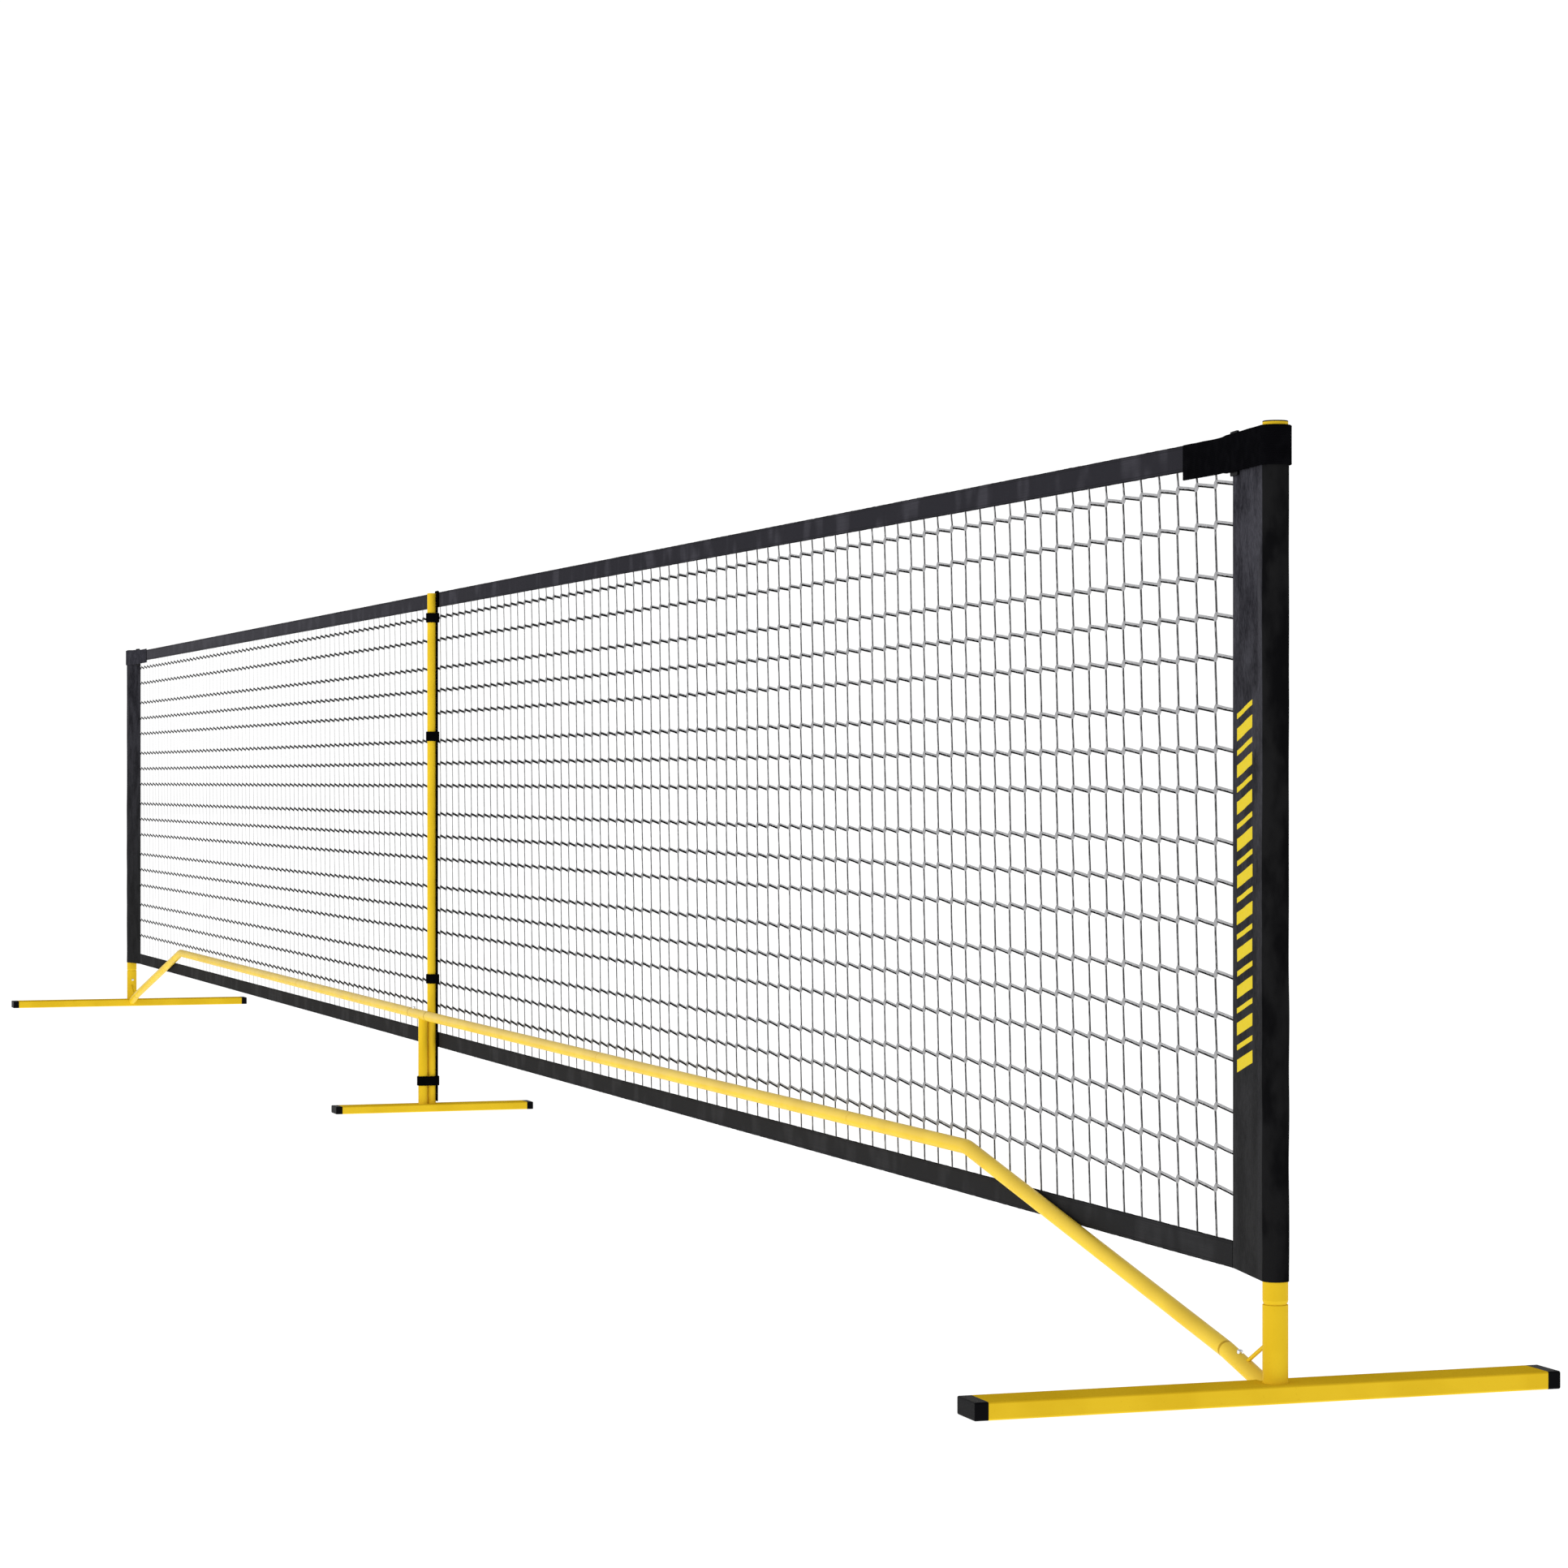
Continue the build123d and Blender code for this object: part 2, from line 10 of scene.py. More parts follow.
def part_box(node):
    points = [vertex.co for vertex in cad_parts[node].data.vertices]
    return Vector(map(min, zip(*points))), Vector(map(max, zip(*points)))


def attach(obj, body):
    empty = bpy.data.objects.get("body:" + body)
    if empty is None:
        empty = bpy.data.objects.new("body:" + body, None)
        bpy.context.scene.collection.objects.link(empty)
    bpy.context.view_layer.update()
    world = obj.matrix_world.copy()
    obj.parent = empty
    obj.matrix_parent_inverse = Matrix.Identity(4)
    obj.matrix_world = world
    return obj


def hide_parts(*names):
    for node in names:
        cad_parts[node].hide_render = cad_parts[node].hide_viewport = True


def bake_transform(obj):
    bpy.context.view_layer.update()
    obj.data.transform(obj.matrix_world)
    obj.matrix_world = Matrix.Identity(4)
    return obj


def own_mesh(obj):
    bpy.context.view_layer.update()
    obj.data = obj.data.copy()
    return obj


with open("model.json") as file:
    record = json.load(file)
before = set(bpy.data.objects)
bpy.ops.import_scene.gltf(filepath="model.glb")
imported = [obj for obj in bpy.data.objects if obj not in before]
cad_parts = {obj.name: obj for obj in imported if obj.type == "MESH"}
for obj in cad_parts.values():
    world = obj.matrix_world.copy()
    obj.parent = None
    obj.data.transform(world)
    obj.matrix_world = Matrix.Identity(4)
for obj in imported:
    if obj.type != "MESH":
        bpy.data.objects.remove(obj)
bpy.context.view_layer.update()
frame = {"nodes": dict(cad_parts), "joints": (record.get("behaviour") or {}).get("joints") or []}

# Looks of a portable court net: webbing, netting and sleeves on a painted tube frame.
# Metres, +X along the net to the near end, +Z up.

MM = 0.001
NEAR, FAR = 1, -1
END_NAME = {NEAR: "near", FAR: "far"}


# --- places taken from the frame ------------------------------------------------------

def middle(node):
    low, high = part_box(node)
    return (low + high) / 2


post_x = middle("near_post").x
post_radius = (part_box("near_post")[1].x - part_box("near_post")[0].x) / 2
band_low, band_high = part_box("top_band")
net_y = (band_low.y + band_high.y) / 2
band_thick = band_high.y - band_low.y
net_low, net_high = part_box("net_mesh")
sleeve_low, sleeve_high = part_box("near_sleeve")
sleeve_edge = sleeve_low.x
hinges = {joint["name"]: Vector(joint["pos_m"]) for joint in frame["joints"] if "pos_m" in joint}

# --- sizes ----------------------------------------------------------------------------

bar_slope = math.radians(11.23)   # of the crossbar's outer parts

sleeve_gap = 1.0 * MM             # outside of the sleeve from the post
sleeve_wall = 0.8 * MM
sleeve_step = 2.4 * MM            # between the points of the sleeve's outline
sleeve_row = 5.0 * MM             # between its points upwards
sleeve_inset = 0.25 * MM          # its loose cloth lies this far inside its outline
sleeve_calm_top = 0.862           # above this the strap presses the cloth flat
sleeve_calm_end = 0.245           # round the outline: the second layer's edge starts here
sleeve_shine_z = 0.745            # where the cloth is pulled smooth beside the post
fold_back = 2.0 * MM              # the cloth turns dark this far before the post's axis
closing_seam = 9.0 * MM           # from that fold
print_low, print_high = 0.299, 0.655
print_edges = (16 * MM, 70 * MM)  # along the sleeve's outline
print_slant = 13 * MM
print_bars = (12 * MM, 5 * MM)    # heights, by turns
print_gap = 9 * MM
ink_lift = 0.10 * MM

webbing_thick = 1.9 * MM          # corner straps
webbing_step = 2.2 * MM
webbing_rim = 2.2 * MM            # width of the thicker edge of any webbing
tail_steps = 40
tail_settle = 34 * MM             # over this length a tail comes down onto the band
tail_gap = 0.35 * MM              # between the tail and the band
tail_taper = 14 * MM              # over this length a strap narrows to its tail
hinge_half = 2.5 * MM             # half of the length that bends as a tail peels
tie_thick = 1.8 * MM
tie_gap = 0.5 * MM
tie_step = 1.2 * MM
tie_softness = 0.42               # how much of a tie's thickness its edges round off
strap_thick = 1.8 * MM            # centre strap, one layer
strap_step = 1.0 * MM

band_step = 3.0 * MM
band_fold = 0.7 * MM              # rounding of the folded edges
band_hem = 3.0 * MM               # from a folded edge to the hem's stitches
band_hollow = 0.92                # share of the thickness left at the stitches

column_pitch = 44.45 * MM
first_column = 10.7 * MM          # the first column beyond the middle of the net
column_jog = 1.7 * MM             # half of how far a column drifts sideways between two rows
row_gaps = (39.2 * MM, 49.5 * MM, 39.2 * MM)   # repeated down the net
first_row_drop = 16.8 * MM        # below the top band
row_slope = 4.4 * MM              # how far a row falls across one cell
row_cord_size = (3.9 * MM, 0.8 * MM)       # width and thickness
column_cord_size = (4.2 * MM, 1.1 * MM)
cord_flat = 0.2                   # share of a cord's thickness at its edges, either side
braid_pitch = 1.1 * MM
knot_half = 3.5 * MM              # half of a crossing's width
knot_swell = (7.5 * MM, 3.2 * MM)          # width and thickness of its bead of braid
knot_climb = 2.6 * MM             # how much further than the row a crossing climbs, each way
cord_stop = 0.6 * knot_half       # a cord ends this far from the middle of a crossing

# --- colours --------------------------------------------------------------------------


def rgb(red, green, blue):
    return (red, green, blue, 1.0)


def scaled_tone(colour, brightness):
    return rgb(*(part * brightness for part in colour[:3]))


paint_deep, paint_bright = rgb(0.79, 0.53, 0.020), rgb(0.86, 0.59, 0.026)
paint_speck, paint_rubbed = rgb(0.68, 0.43, 0.012), rgb(0.90, 0.66, 0.03)
# painted shadow for the seams where the bars enter the tee and the sockets
painted_seam_shadow = rgb(0.34, 0.16, 0.003)
# painted light on faces that look up: shade on the feet and posts, a pale sheen on the bars
painted_top_shade, painted_top_sheen = rgb(0.56, 0.29, 0.0), rgb(1.0, 0.88, 0.68)
ink_dull, ink_bright, ink_thin = rgb(0.68, 0.50, 0.004), rgb(0.74, 0.58, 0.006), rgb(0.35, 0.25, 0.01)

# rows: black cord and the pale tone of a painted sheen along its upper edge; columns: dark cord and
# the pale tone of a painted sheen along one side
cord_black, cord_painted_sheen = rgb(0.004, 0.004, 0.004), rgb(0.44, 0.44, 0.45)
cord_soot, column_painted_sheen = rgb(0.045, 0.045, 0.045), rgb(0.42, 0.42, 0.43)
cord_far_pale = rgb(0.74, 0.74, 0.74)
# painted shade in the valleys of a crossing's braid, and the darker tone of crossings at the far end
bead_valley_shade, bead_far = rgb(0.16, 0.16, 0.165), rgb(0.09, 0.09, 0.09)

selvedge_black = rgb(0.004, 0.004, 0.005)
thread_grey = rgb(0.012, 0.012, 0.014)
# each band's dark tone and the lighter tone of its painted sheen
top_band_tones = rgb(0.020, 0.0192, 0.0246), rgb(0.044, 0.0425, 0.052)
bottom_band_tones = rgb(0.0185, 0.0185, 0.0196), rgb(0.030, 0.030, 0.032)
# painted sheen that the top band takes toward the far end
band_painted_sheen = rgb(0.085, 0.083, 0.095)
# deep and pale tones, picked by random blotches and by the painted light and shade of the creases
sleeve_deep_tones = rgb(0.020, 0.020, 0.0205), rgb(0.0150, 0.0146, 0.0185)     # low, high up
sleeve_pale_tones = rgb(0.034, 0.034, 0.035), rgb(0.061, 0.060, 0.072)
wrapped_tones = rgb(0.0045, 0.0045, 0.005), rgb(0.0115, 0.0115, 0.012)
sleeve_shine, sleeve_thread = rgb(0.070, 0.069, 0.078), rgb(0.012, 0.012, 0.013)
# painted highlight along the edges of black plastic
edge_highlight_grey = rgb(0.022, 0.022, 0.026)

# These are for a brightness of 1, and each piece has its own brightness.
plastic_tones = rgb(0.75, 0.75, 1.0), rgb(1.0, 1.0, 1.3)
# painted shade in the weave's valleys, against its ribs
webbing_valley_shade, webbing_rib = rgb(0.4, 0.39, 0.48), rgb(2.2, 2.15, 2.7)
webbing_fuzz = rgb(2.6, 2.55, 3.1)
sleeve_brightness = {NEAR: 1.0, FAR: 0.72}
strap_brightness = {NEAR: 0.0029, FAR: 0.034}      # the far strap is much paler
tie_brightness = 0.0022


# --- wiring of procedural materials ---------------------------------------------------

class Shade:
    """A node material; each method adds one node and returns its output socket."""

    def __init__(self, name):
        self.material = bpy.data.materials.new(name)
        self.material.use_nodes = True
        self.tree = self.material.node_tree
        self.surface = self.tree.nodes["Principled BSDF"]

    def feed(self, socket, value):
        if isinstance(value, bpy.types.NodeSocket):
            self.tree.links.new(value, socket)
        elif value is not None:
            socket.default_value = value

    def add(self, kind, inputs=None, output=0, **settings):
        node = self.tree.nodes.new("ShaderNode" + kind)
        for name, value in settings.items():
            setattr(node, name, value)
        for key, value in (inputs or {}).items():
            self.feed(node.inputs[key], value)
        return node.outputs[output]

    def math(self, operation, a, b=None):
        return self.add("Math", {0: a, 1: b}, operation=operation)

    def plus(self, a, b):
        return self.math("ADD", a, b)

    def minus(self, a, b):
        return self.math("SUBTRACT", a, b)

    def times(self, a, b):
        return self.math("MULTIPLY", a, b)

    def absolute(self, a):
        return self.math("ABSOLUTE", a)

    def place(self):
        """Place on the object, in the shared frame."""
        return self.add("TexCoord", output="Object")

    def cloth(self):
        """Place on a lofted piece's own map, in metres along and round it."""
        return self.add("UVMap", uv_map="cloth")

    def split(self, vector):
        self.add("SeparateXYZ", {0: vector})
        return self.tree.nodes[-1].outputs

    def scaled(self, vector, x, y, z):
        inputs = {0: vector, 1: (x, y, z)}
        return self.add("VectorMath", inputs, operation="MULTIPLY")

    def grain(self, vector, scale, detail, roughness=0.5):
        inputs = {"Vector": vector, "Scale": scale, "Detail": detail, "Roughness": roughness}
        return self.add("TexNoise", inputs)

    def between(self, value, low, high, to_low=0.0, to_high=1.0):
        """Moves softly from one number to another as the value goes from low to high."""
        inputs = {0: value, 1: low, 2: high, 3: to_low, 4: to_high}
        return self.add("MapRange", inputs, interpolation_type="SMOOTHSTEP")

    def mix(self, share, a, b):
        return self.add("Mix", {0: share, 6: a, 7: b}, output=2, data_type="RGBA")

    def blend(self, share, a, b):
        """A number between two others; mix does the same for colours."""
        return self.add("Mix", {0: share, 2: a, 3: b}, data_type="FLOAT")

    def bump(self, height, distance, strength, normal=None):
        inputs = {"Height": height, "Distance": distance, "Strength": strength}
        if normal is not None:
            inputs["Normal"] = normal
        return self.add("Bump", inputs)

    def edges(self, radius):
        """1 along the sharp edges of a piece, 0 on its flats."""
        rounded = self.add("Bevel", {"Radius": radius}, samples=4)
        flat = self.add("NewGeometry", output="Normal")
        same = self.add(
            "VectorMath", {0: rounded, 1: flat}, output="Value", operation="DOT_PRODUCT"
        )
        return self.between(same, 0.985, 0.88)

    def weave(self, pitch, skew=0.0):
        """Height of crossing threads, each one pitch wide, on the cloth's own map."""
        sides = self.split(self.cloth())
        across, up = sides[0], sides[1]
        if skew:
            across = self.plus(across, self.times(up, skew))
        warp = self.math("SINE", self.times(across, math.pi / pitch))
        weft = self.math("SINE", self.times(up, math.pi / pitch))
        over = self.math("GREATER_THAN", self.times(warp, weft), 0.0)
        return self.blend(over, self.absolute(warp), self.absolute(weft))

    def finish(self, colour, roughness, normal=None, **others):
        self.feed(self.surface.inputs["Base Color"], colour)
        self.feed(self.surface.inputs["Roughness"], roughness)
        if normal is not None:
            self.feed(self.surface.inputs["Normal"], normal)
        for name, value in others.items():
            self.feed(self.surface.inputs[name.replace("_", " ")], value)
        return self.material


# --- materials ------------------------------------------------------------------------

def powder_coat(name, upper, shares, upper_gloss, seams=()):
    """Satin yellow powder coat: faint cloudiness, orange peel, rubbed pale and dull on edges.

    Faces that look up take some of the upper colour, which is painted light: painted shade on the
    feet and posts, a painted pale sheen on the bars. They also take their own gloss. The shares
    are for the middle of the net and for its ends. A seam is a place and the direction of the tube
    through it; a painted shadow line darkens the paint across each seam.
    """
    side_gloss = 0.04
    line_soft, line_full = 2.8 * MM, 1.4 * MM          # half widths of a seam's painted shadow
    shade = Shade(name)
    place = shade.place()
    cloud = shade.between(shade.grain(place, 14.0, 3.0), 0.35, 0.65)
    colour = shade.mix(cloud, paint_deep, paint_bright)
    speck = shade.between(shade.grain(place, 420.0, 2.0), 0.66, 0.74, 0.0, 0.35)
    colour = shade.mix(speck, colour, paint_speck)
    worn = shade.times(shade.edges(0.9 * MM), shade.grain(place, 160.0, 3.0))
    colour = shade.mix(shade.times(worn, 0.8), colour, paint_rubbed)
    normal = shade.add("NewGeometry", output="Normal")
    facing = shade.between(shade.split(normal)[2], -0.25, 0.3)
    away = shade.absolute(shade.split(place)[0])
    share = shade.times(facing, shade.between(away, 1.0, 3.1, *shares))
    # painted light: faces that look up take the upper colour, as shade on the feet and posts and as a
    # pale sheen on the bars
    colour = shade.mix(share, colour, upper)
    for seam, direction in seams:
        inputs = {0: place, 1: tuple(direction)}
        along = shade.add("VectorMath", inputs, output="Value", operation="DOT_PRODUCT")
        apart = shade.absolute(shade.minus(along, seam.dot(direction)))
        line = shade.between(apart, line_soft, line_full)
        # painted shadow: a dark line across each seam
        colour = shade.mix(shade.times(line, 0.55), colour, painted_seam_shadow)
    rough = shade.between(shade.grain(place, 55.0, 4.0), 0.3, 0.7, 0.30, 0.42)
    rough = shade.plus(rough, shade.times(worn, 0.25))
    peel = shade.bump(shade.grain(place, 850.0, 2.0), 0.05 * MM, 0.5)
    gloss = shade.between(facing, 0.0, 1.0, side_gloss, upper_gloss)
    return shade.finish(colour, rough, peel, Specular_IOR_Level=gloss)


def moulded_plastic(name, brightness):
    """Black moulded plastic with a fine spark-eroded grain and a painted highlight along its edges.
    """
    shade = Shade(name)
    place = shade.place()
    grain = shade.grain(place, 1400.0, 3.0, 0.6)
    cloud = shade.grain(place, 60.0, 3.0)
    colour = shade.mix(cloud, *(scaled_tone(tone, brightness) for tone in plastic_tones))
    # painted highlight: the edges are greyed as if they caught the light
    highlit_edges = shade.times(shade.edges(0.6 * MM), cloud)
    colour = shade.mix(shade.times(highlit_edges, 0.5), colour, edge_highlight_grey)
    rough = shade.between(grain, 0.3, 0.7, 0.42, 0.6)
    return shade.finish(colour, rough, shade.bump(grain, 0.06 * MM, 0.6), Specular_IOR_Level=0.04)


def plated_steel():
    """Bright plated steel with faint smudges."""
    shade = Shade("plated_steel")
    place = shade.place()
    smudge = shade.grain(place, 700.0, 4.0)
    colour = shade.mix(smudge, rgb(0.72, 0.73, 0.75), rgb(0.9, 0.9, 0.9))
    rough = shade.between(smudge, 0.3, 0.7, 0.08, 0.22)
    return shade.finish(colour, rough, shade.bump(smudge, 0.01 * MM, 0.3), Metallic=1.0)


def spring_steel():
    """Drawn spring strip with lengthwise draw lines and a straw tint."""
    shade = Shade("drawn_spring_steel")
    lines = shade.grain(shade.scaled(shade.place(), 60.0, 4000.0, 60.0), 1.0, 2.0)
    colour = shade.mix(lines, rgb(0.38, 0.37, 0.36), rgb(0.55, 0.54, 0.51))
    rough = shade.between(lines, 0.3, 0.7, 0.25, 0.4)
    return shade.finish(colour, rough, shade.bump(lines, 0.01 * MM, 0.4), Metallic=1.0)


def cord(name, size, tones, sheen_edge, shares, stray, far_fade):
    """Flat braided cord with a painted sheen along one edge, and a ragged border between its two
    tones.

    The shares are how much of the width takes the painted sheen, in the net's far and near half, and
    stray is how far the border wanders. The far fade is how much of a pale tone the cord takes at
    the net's far end, less of it low on the net.
    """
    wide, thick = size
    dark, light = tones
    soft = 0.35 * MM
    shade = Shade(name)
    place = shade.place()
    fleck = shade.grain(place, 900.0, 3.0, 0.6)
    wander = shade.grain(place, 160.0, 2.0)
    along_net = shade.split(place)[0]
    half_round = wide + cord_flat * thick      # round the cord, from its upper to its lower edge
    from_low_edge = shade.minus(shade.split(shade.cloth())[1], half_round)
    from_low_edge = shade.absolute(from_low_edge)
    if sheen_edge == "low":
        from_low_edge = shade.minus(wide, from_low_edge)
    turn_at = shade.between(along_net, -0.3, 3.4, wide * (1 - shares[0]), wide * (1 - shares[1]))
    wobble = shade.times(shade.minus(wander, 0.5), stray)
    height = shade.minus(shade.plus(from_low_edge, wobble), turn_at)
    share = shade.between(height, -soft, soft)
    dull = shade.between(fleck, 0.35, 0.65, 0.75, 1.0)
    # painted sheen: the cord's pale tone along one edge
    colour = shade.mix(shade.times(share, dull), dark, light)
    toward_far = shade.between(along_net, 1.8, -2.4, 0.0, far_fade)
    upper = shade.between(shade.split(place)[2], 0.50, 0.62, 0.36, 1.0)
    colour = shade.mix(shade.times(toward_far, upper), colour, cord_far_pale)
    braid = shade.weave(braid_pitch, 1.0)
    rough = shade.between(fleck, 0.3, 0.7, 0.5, 0.7)
    normal = shade.bump(braid, 0.12 * MM, 0.7)
    return shade.finish(colour, rough, normal, Specular_IOR_Level=0.0)


def bead_braid():
    """Loose braid of a crossing, pale with a painted sheen and with painted shade in its valleys;
    darker toward the far end.
    """
    shade = Shade("cord_knots")
    fleck = shade.grain(shade.place(), 1300.0, 3.0, 0.6)
    braid = shade.weave(braid_pitch, 1.0)
    height = shade.times(braid, shade.between(fleck, 0.3, 0.6, 0.5, 1.0))
    # painted sheen on the braid's crowns and painted shade in its valleys
    colour = shade.mix(shade.between(height, 0.05, 0.6), bead_valley_shade, cord_painted_sheen)
    toward_far = shade.between(shade.split(shade.place())[0], 3.2, -1.6, 0.0, 0.85)
    colour = shade.mix(toward_far, colour, bead_far)
    normal = shade.bump(braid, 0.15 * MM, 0.7)
    return shade.finish(colour, 0.6, normal, Specular_IOR_Level=0.0)


def binding(name, tones, low_z, high_z, far_share):
    """Woven binding: painted sheen in soft lighter patches and long streaks, dark selvedges and a
    stitch line.

    The far share is how much of a painted sheen, a paler tone, the cloth takes at the net's far end.
    """
    stitch_line = 3.2 * MM
    shade = Shade(name)
    place = shade.place()
    parts = shade.split(place)
    patch = shade.grain(shade.scaled(place, 1.0, 1.0, 0.6), 21.0, 2.0)
    patch = shade.between(patch, 0.47, 0.66)
    streak = shade.grain(shade.scaled(place, 9.0, 9.0, 700.0), 1.0, 3.0)
    streak = shade.between(streak, 0.42, 0.62)
    share = shade.times(patch, shade.blend(streak, 0.7, 1.0))
    # painted sheen: lighter patches and long streaks
    colour = shade.mix(share, *tones)
    if far_share:
        # painted sheen growing toward the far end
        toward_far = shade.between(parts[0], 1.5, -3.2, 0.0, far_share)
        colour = shade.mix(toward_far, colour, band_painted_sheen)
    above, below = shade.minus(parts[2], low_z), shade.minus(high_z, parts[2])
    from_edge = shade.math("MINIMUM", above, below)
    selvedge = shade.between(from_edge, 1.6 * MM, 0.9 * MM)
    colour = shade.mix(shade.times(selvedge, 0.7), colour, selvedge_black)
    stitch = stitches(shade, from_edge, parts[0], stitch_line)
    colour = shade.mix(shade.times(stitch, 0.6), colour, thread_grey)
    threads = shade.bump(shade.weave(0.7 * MM), 0.10 * MM, 0.8)
    sewn = shade.bump(stitch, 0.3 * MM, 0.8, threads)
    rough = shade.blend(share, 0.82, 0.62)
    return shade.finish(colour, rough, sewn, Specular_IOR_Level=0.0, Sheen_Weight=0.03)


def stitches(shade, distance, along, line):
    """1 on a dashed line of thread that runs at a set distance from an edge."""
    length, gap = 3.0 * MM, 1.0 * MM
    off = shade.absolute(shade.minus(distance, line))
    on_line = shade.between(off, 0.45 * MM, 0.25 * MM)
    dash = shade.math("PINGPONG", along, (length + gap) / 2)
    return shade.times(on_line, shade.between(dash, gap / 2 - 0.1 * MM, gap / 2))


def sleeve_cloth(name, end):
    """Polyester pocket: creased along a slant, with painted light and shade on its creases, dark
    where it wraps the post, with two seams.

    The cloth is browner and darker low down and bluer high up, and it shines where it is
    pulled smooth beside the post.
    """
    fold_at = post_x - sleeve_edge - fold_back
    seam_at = fold_at - closing_seam
    deep = [scaled_tone(tone, sleeve_brightness[end]) for tone in sleeve_deep_tones]
    pale = [scaled_tone(tone, sleeve_brightness[end]) for tone in sleeve_pale_tones]
    shade = Shade(name)
    place = shade.place()
    parts = shade.split(place)
    outward = shade.times(parts[0], float(end))
    from_free_edge = shade.minus(outward, sleeve_edge)
    blotch = shade.grain(shade.scaled(place, 1.0, 1.0, 0.5), 34.0, 3.0, 0.55)
    blotch = shade.between(blotch, 0.36, 0.64)
    crease = shade.blend(0.45, blotch, slanted_fibre(shade, parts))
    rising = shade.between(parts[2], 0.15, 0.90)
    # blotches of tone that differ at random, and painted light and shade on the creases, pick between
    # the deep and the pale tones
    colour = shade.mix(crease, shade.mix(rising, *deep), shade.mix(rising, *pale))
    wrapped = shade.between(from_free_edge, fold_at - 0.8 * MM, fold_at + 0.8 * MM)
    colour = shade.mix(wrapped, colour, shade.mix(blotch, *wrapped_tones))
    shine = pulled_smooth(shade, from_free_edge, seam_at, parts[2])
    colour = shade.mix(shine, colour, sleeve_shine)
    hem = shade.between(from_free_edge, 1.5 * MM, 0.8 * MM)
    colour = shade.mix(shade.times(hem, 0.8), colour, selvedge_black)
    hem_seam = stitches(shade, from_free_edge, parts[2], 5.0 * MM)
    closing = stitches(shade, from_free_edge, parts[2], seam_at)
    sewn = shade.math("MAXIMUM", hem_seam, closing)
    colour = shade.mix(shade.times(sewn, 0.5), colour, sleeve_thread)
    threads = shade.bump(shade.weave(0.55 * MM), 0.08 * MM, 0.7)
    creased = shade.bump(crease, 0.35 * MM, 0.5, threads)
    rough = shade.blend(crease, 0.8, 0.62)
    normal = shade.bump(sewn, 0.3 * MM, 0.8, creased)
    return shade.finish(colour, rough, normal, Specular_IOR_Level=0.0)


def slanted_fibre(shade, parts):
    """Fine creases of a sleeve's cloth, leaning a little."""
    drape = shade.plus(parts[0], shade.times(parts[2], 0.12))
    slanted = shade.add("CombineXYZ", {0: drape, 1: parts[1], 2: parts[2]})
    fibre = shade.grain(shade.scaled(slanted, 520.0, 520.0, 150.0), 1.0, 4.0, 0.65)
    return shade.between(fibre, 0.38, 0.62)


def pulled_smooth(shade, distance, seam, z):
    """How much a sleeve shines: only along its closing seam, and most of all at one height."""
    off_seam = shade.absolute(shade.minus(distance, seam))
    beside = shade.between(off_seam, 9.0 * MM, 1.0 * MM)
    off_height = shade.absolute(shade.minus(z, sleeve_shine_z))
    return shade.times(beside, shade.between(off_height, 0.06, 0.01, 0.12, 0.6))


def webbing_cloth(name, brightness, pitch):
    """Black polypropylene webbing: diagonal ribs of fine threads, fuzzed in patches."""
    shade = Shade(name)
    threads = shade.weave(pitch, 0.5)
    fine = shade.grain(shade.cloth(), 2600.0, 2.0)
    wear = shade.between(shade.grain(shade.place(), 70.0, 3.0), 0.4, 0.7)
    raised = shade.times(threads, fine)
    valley, rib = scaled_tone(webbing_valley_shade, brightness), scaled_tone(webbing_rib, brightness)
    # painted shade: the weave's valleys are darker than its ribs
    colour = shade.mix(raised, valley, rib)
    fuzz = shade.times(wear, 0.3)
    colour = shade.mix(fuzz, colour, scaled_tone(webbing_fuzz, brightness))
    rough = shade.blend(raised, 0.9, 0.6)
    normal = shade.bump(threads, 0.25 * MM, 0.9)
    return shade.finish(colour, rough, normal, Specular_IOR_Level=0.0)


def printed_ink():
    """Yellow ink on cloth: the weave shows through and the ink is thin in the valleys."""
    shade = Shade("yellow_print")
    threads = shade.weave(0.55 * MM)
    patchy = shade.grain(shade.place(), 300.0, 4.0)
    colour = shade.mix(patchy, ink_dull, ink_bright)
    thin = shade.between(shade.plus(threads, patchy), 0.45, 0.30, 0.0, 0.5)
    colour = shade.mix(thin, colour, ink_thin)
    return shade.finish(colour, 0.55, shade.bump(threads, 0.06 * MM, 0.6), Specular_IOR_Level=0.1)


# --- meshes ---------------------------------------------------------------------------

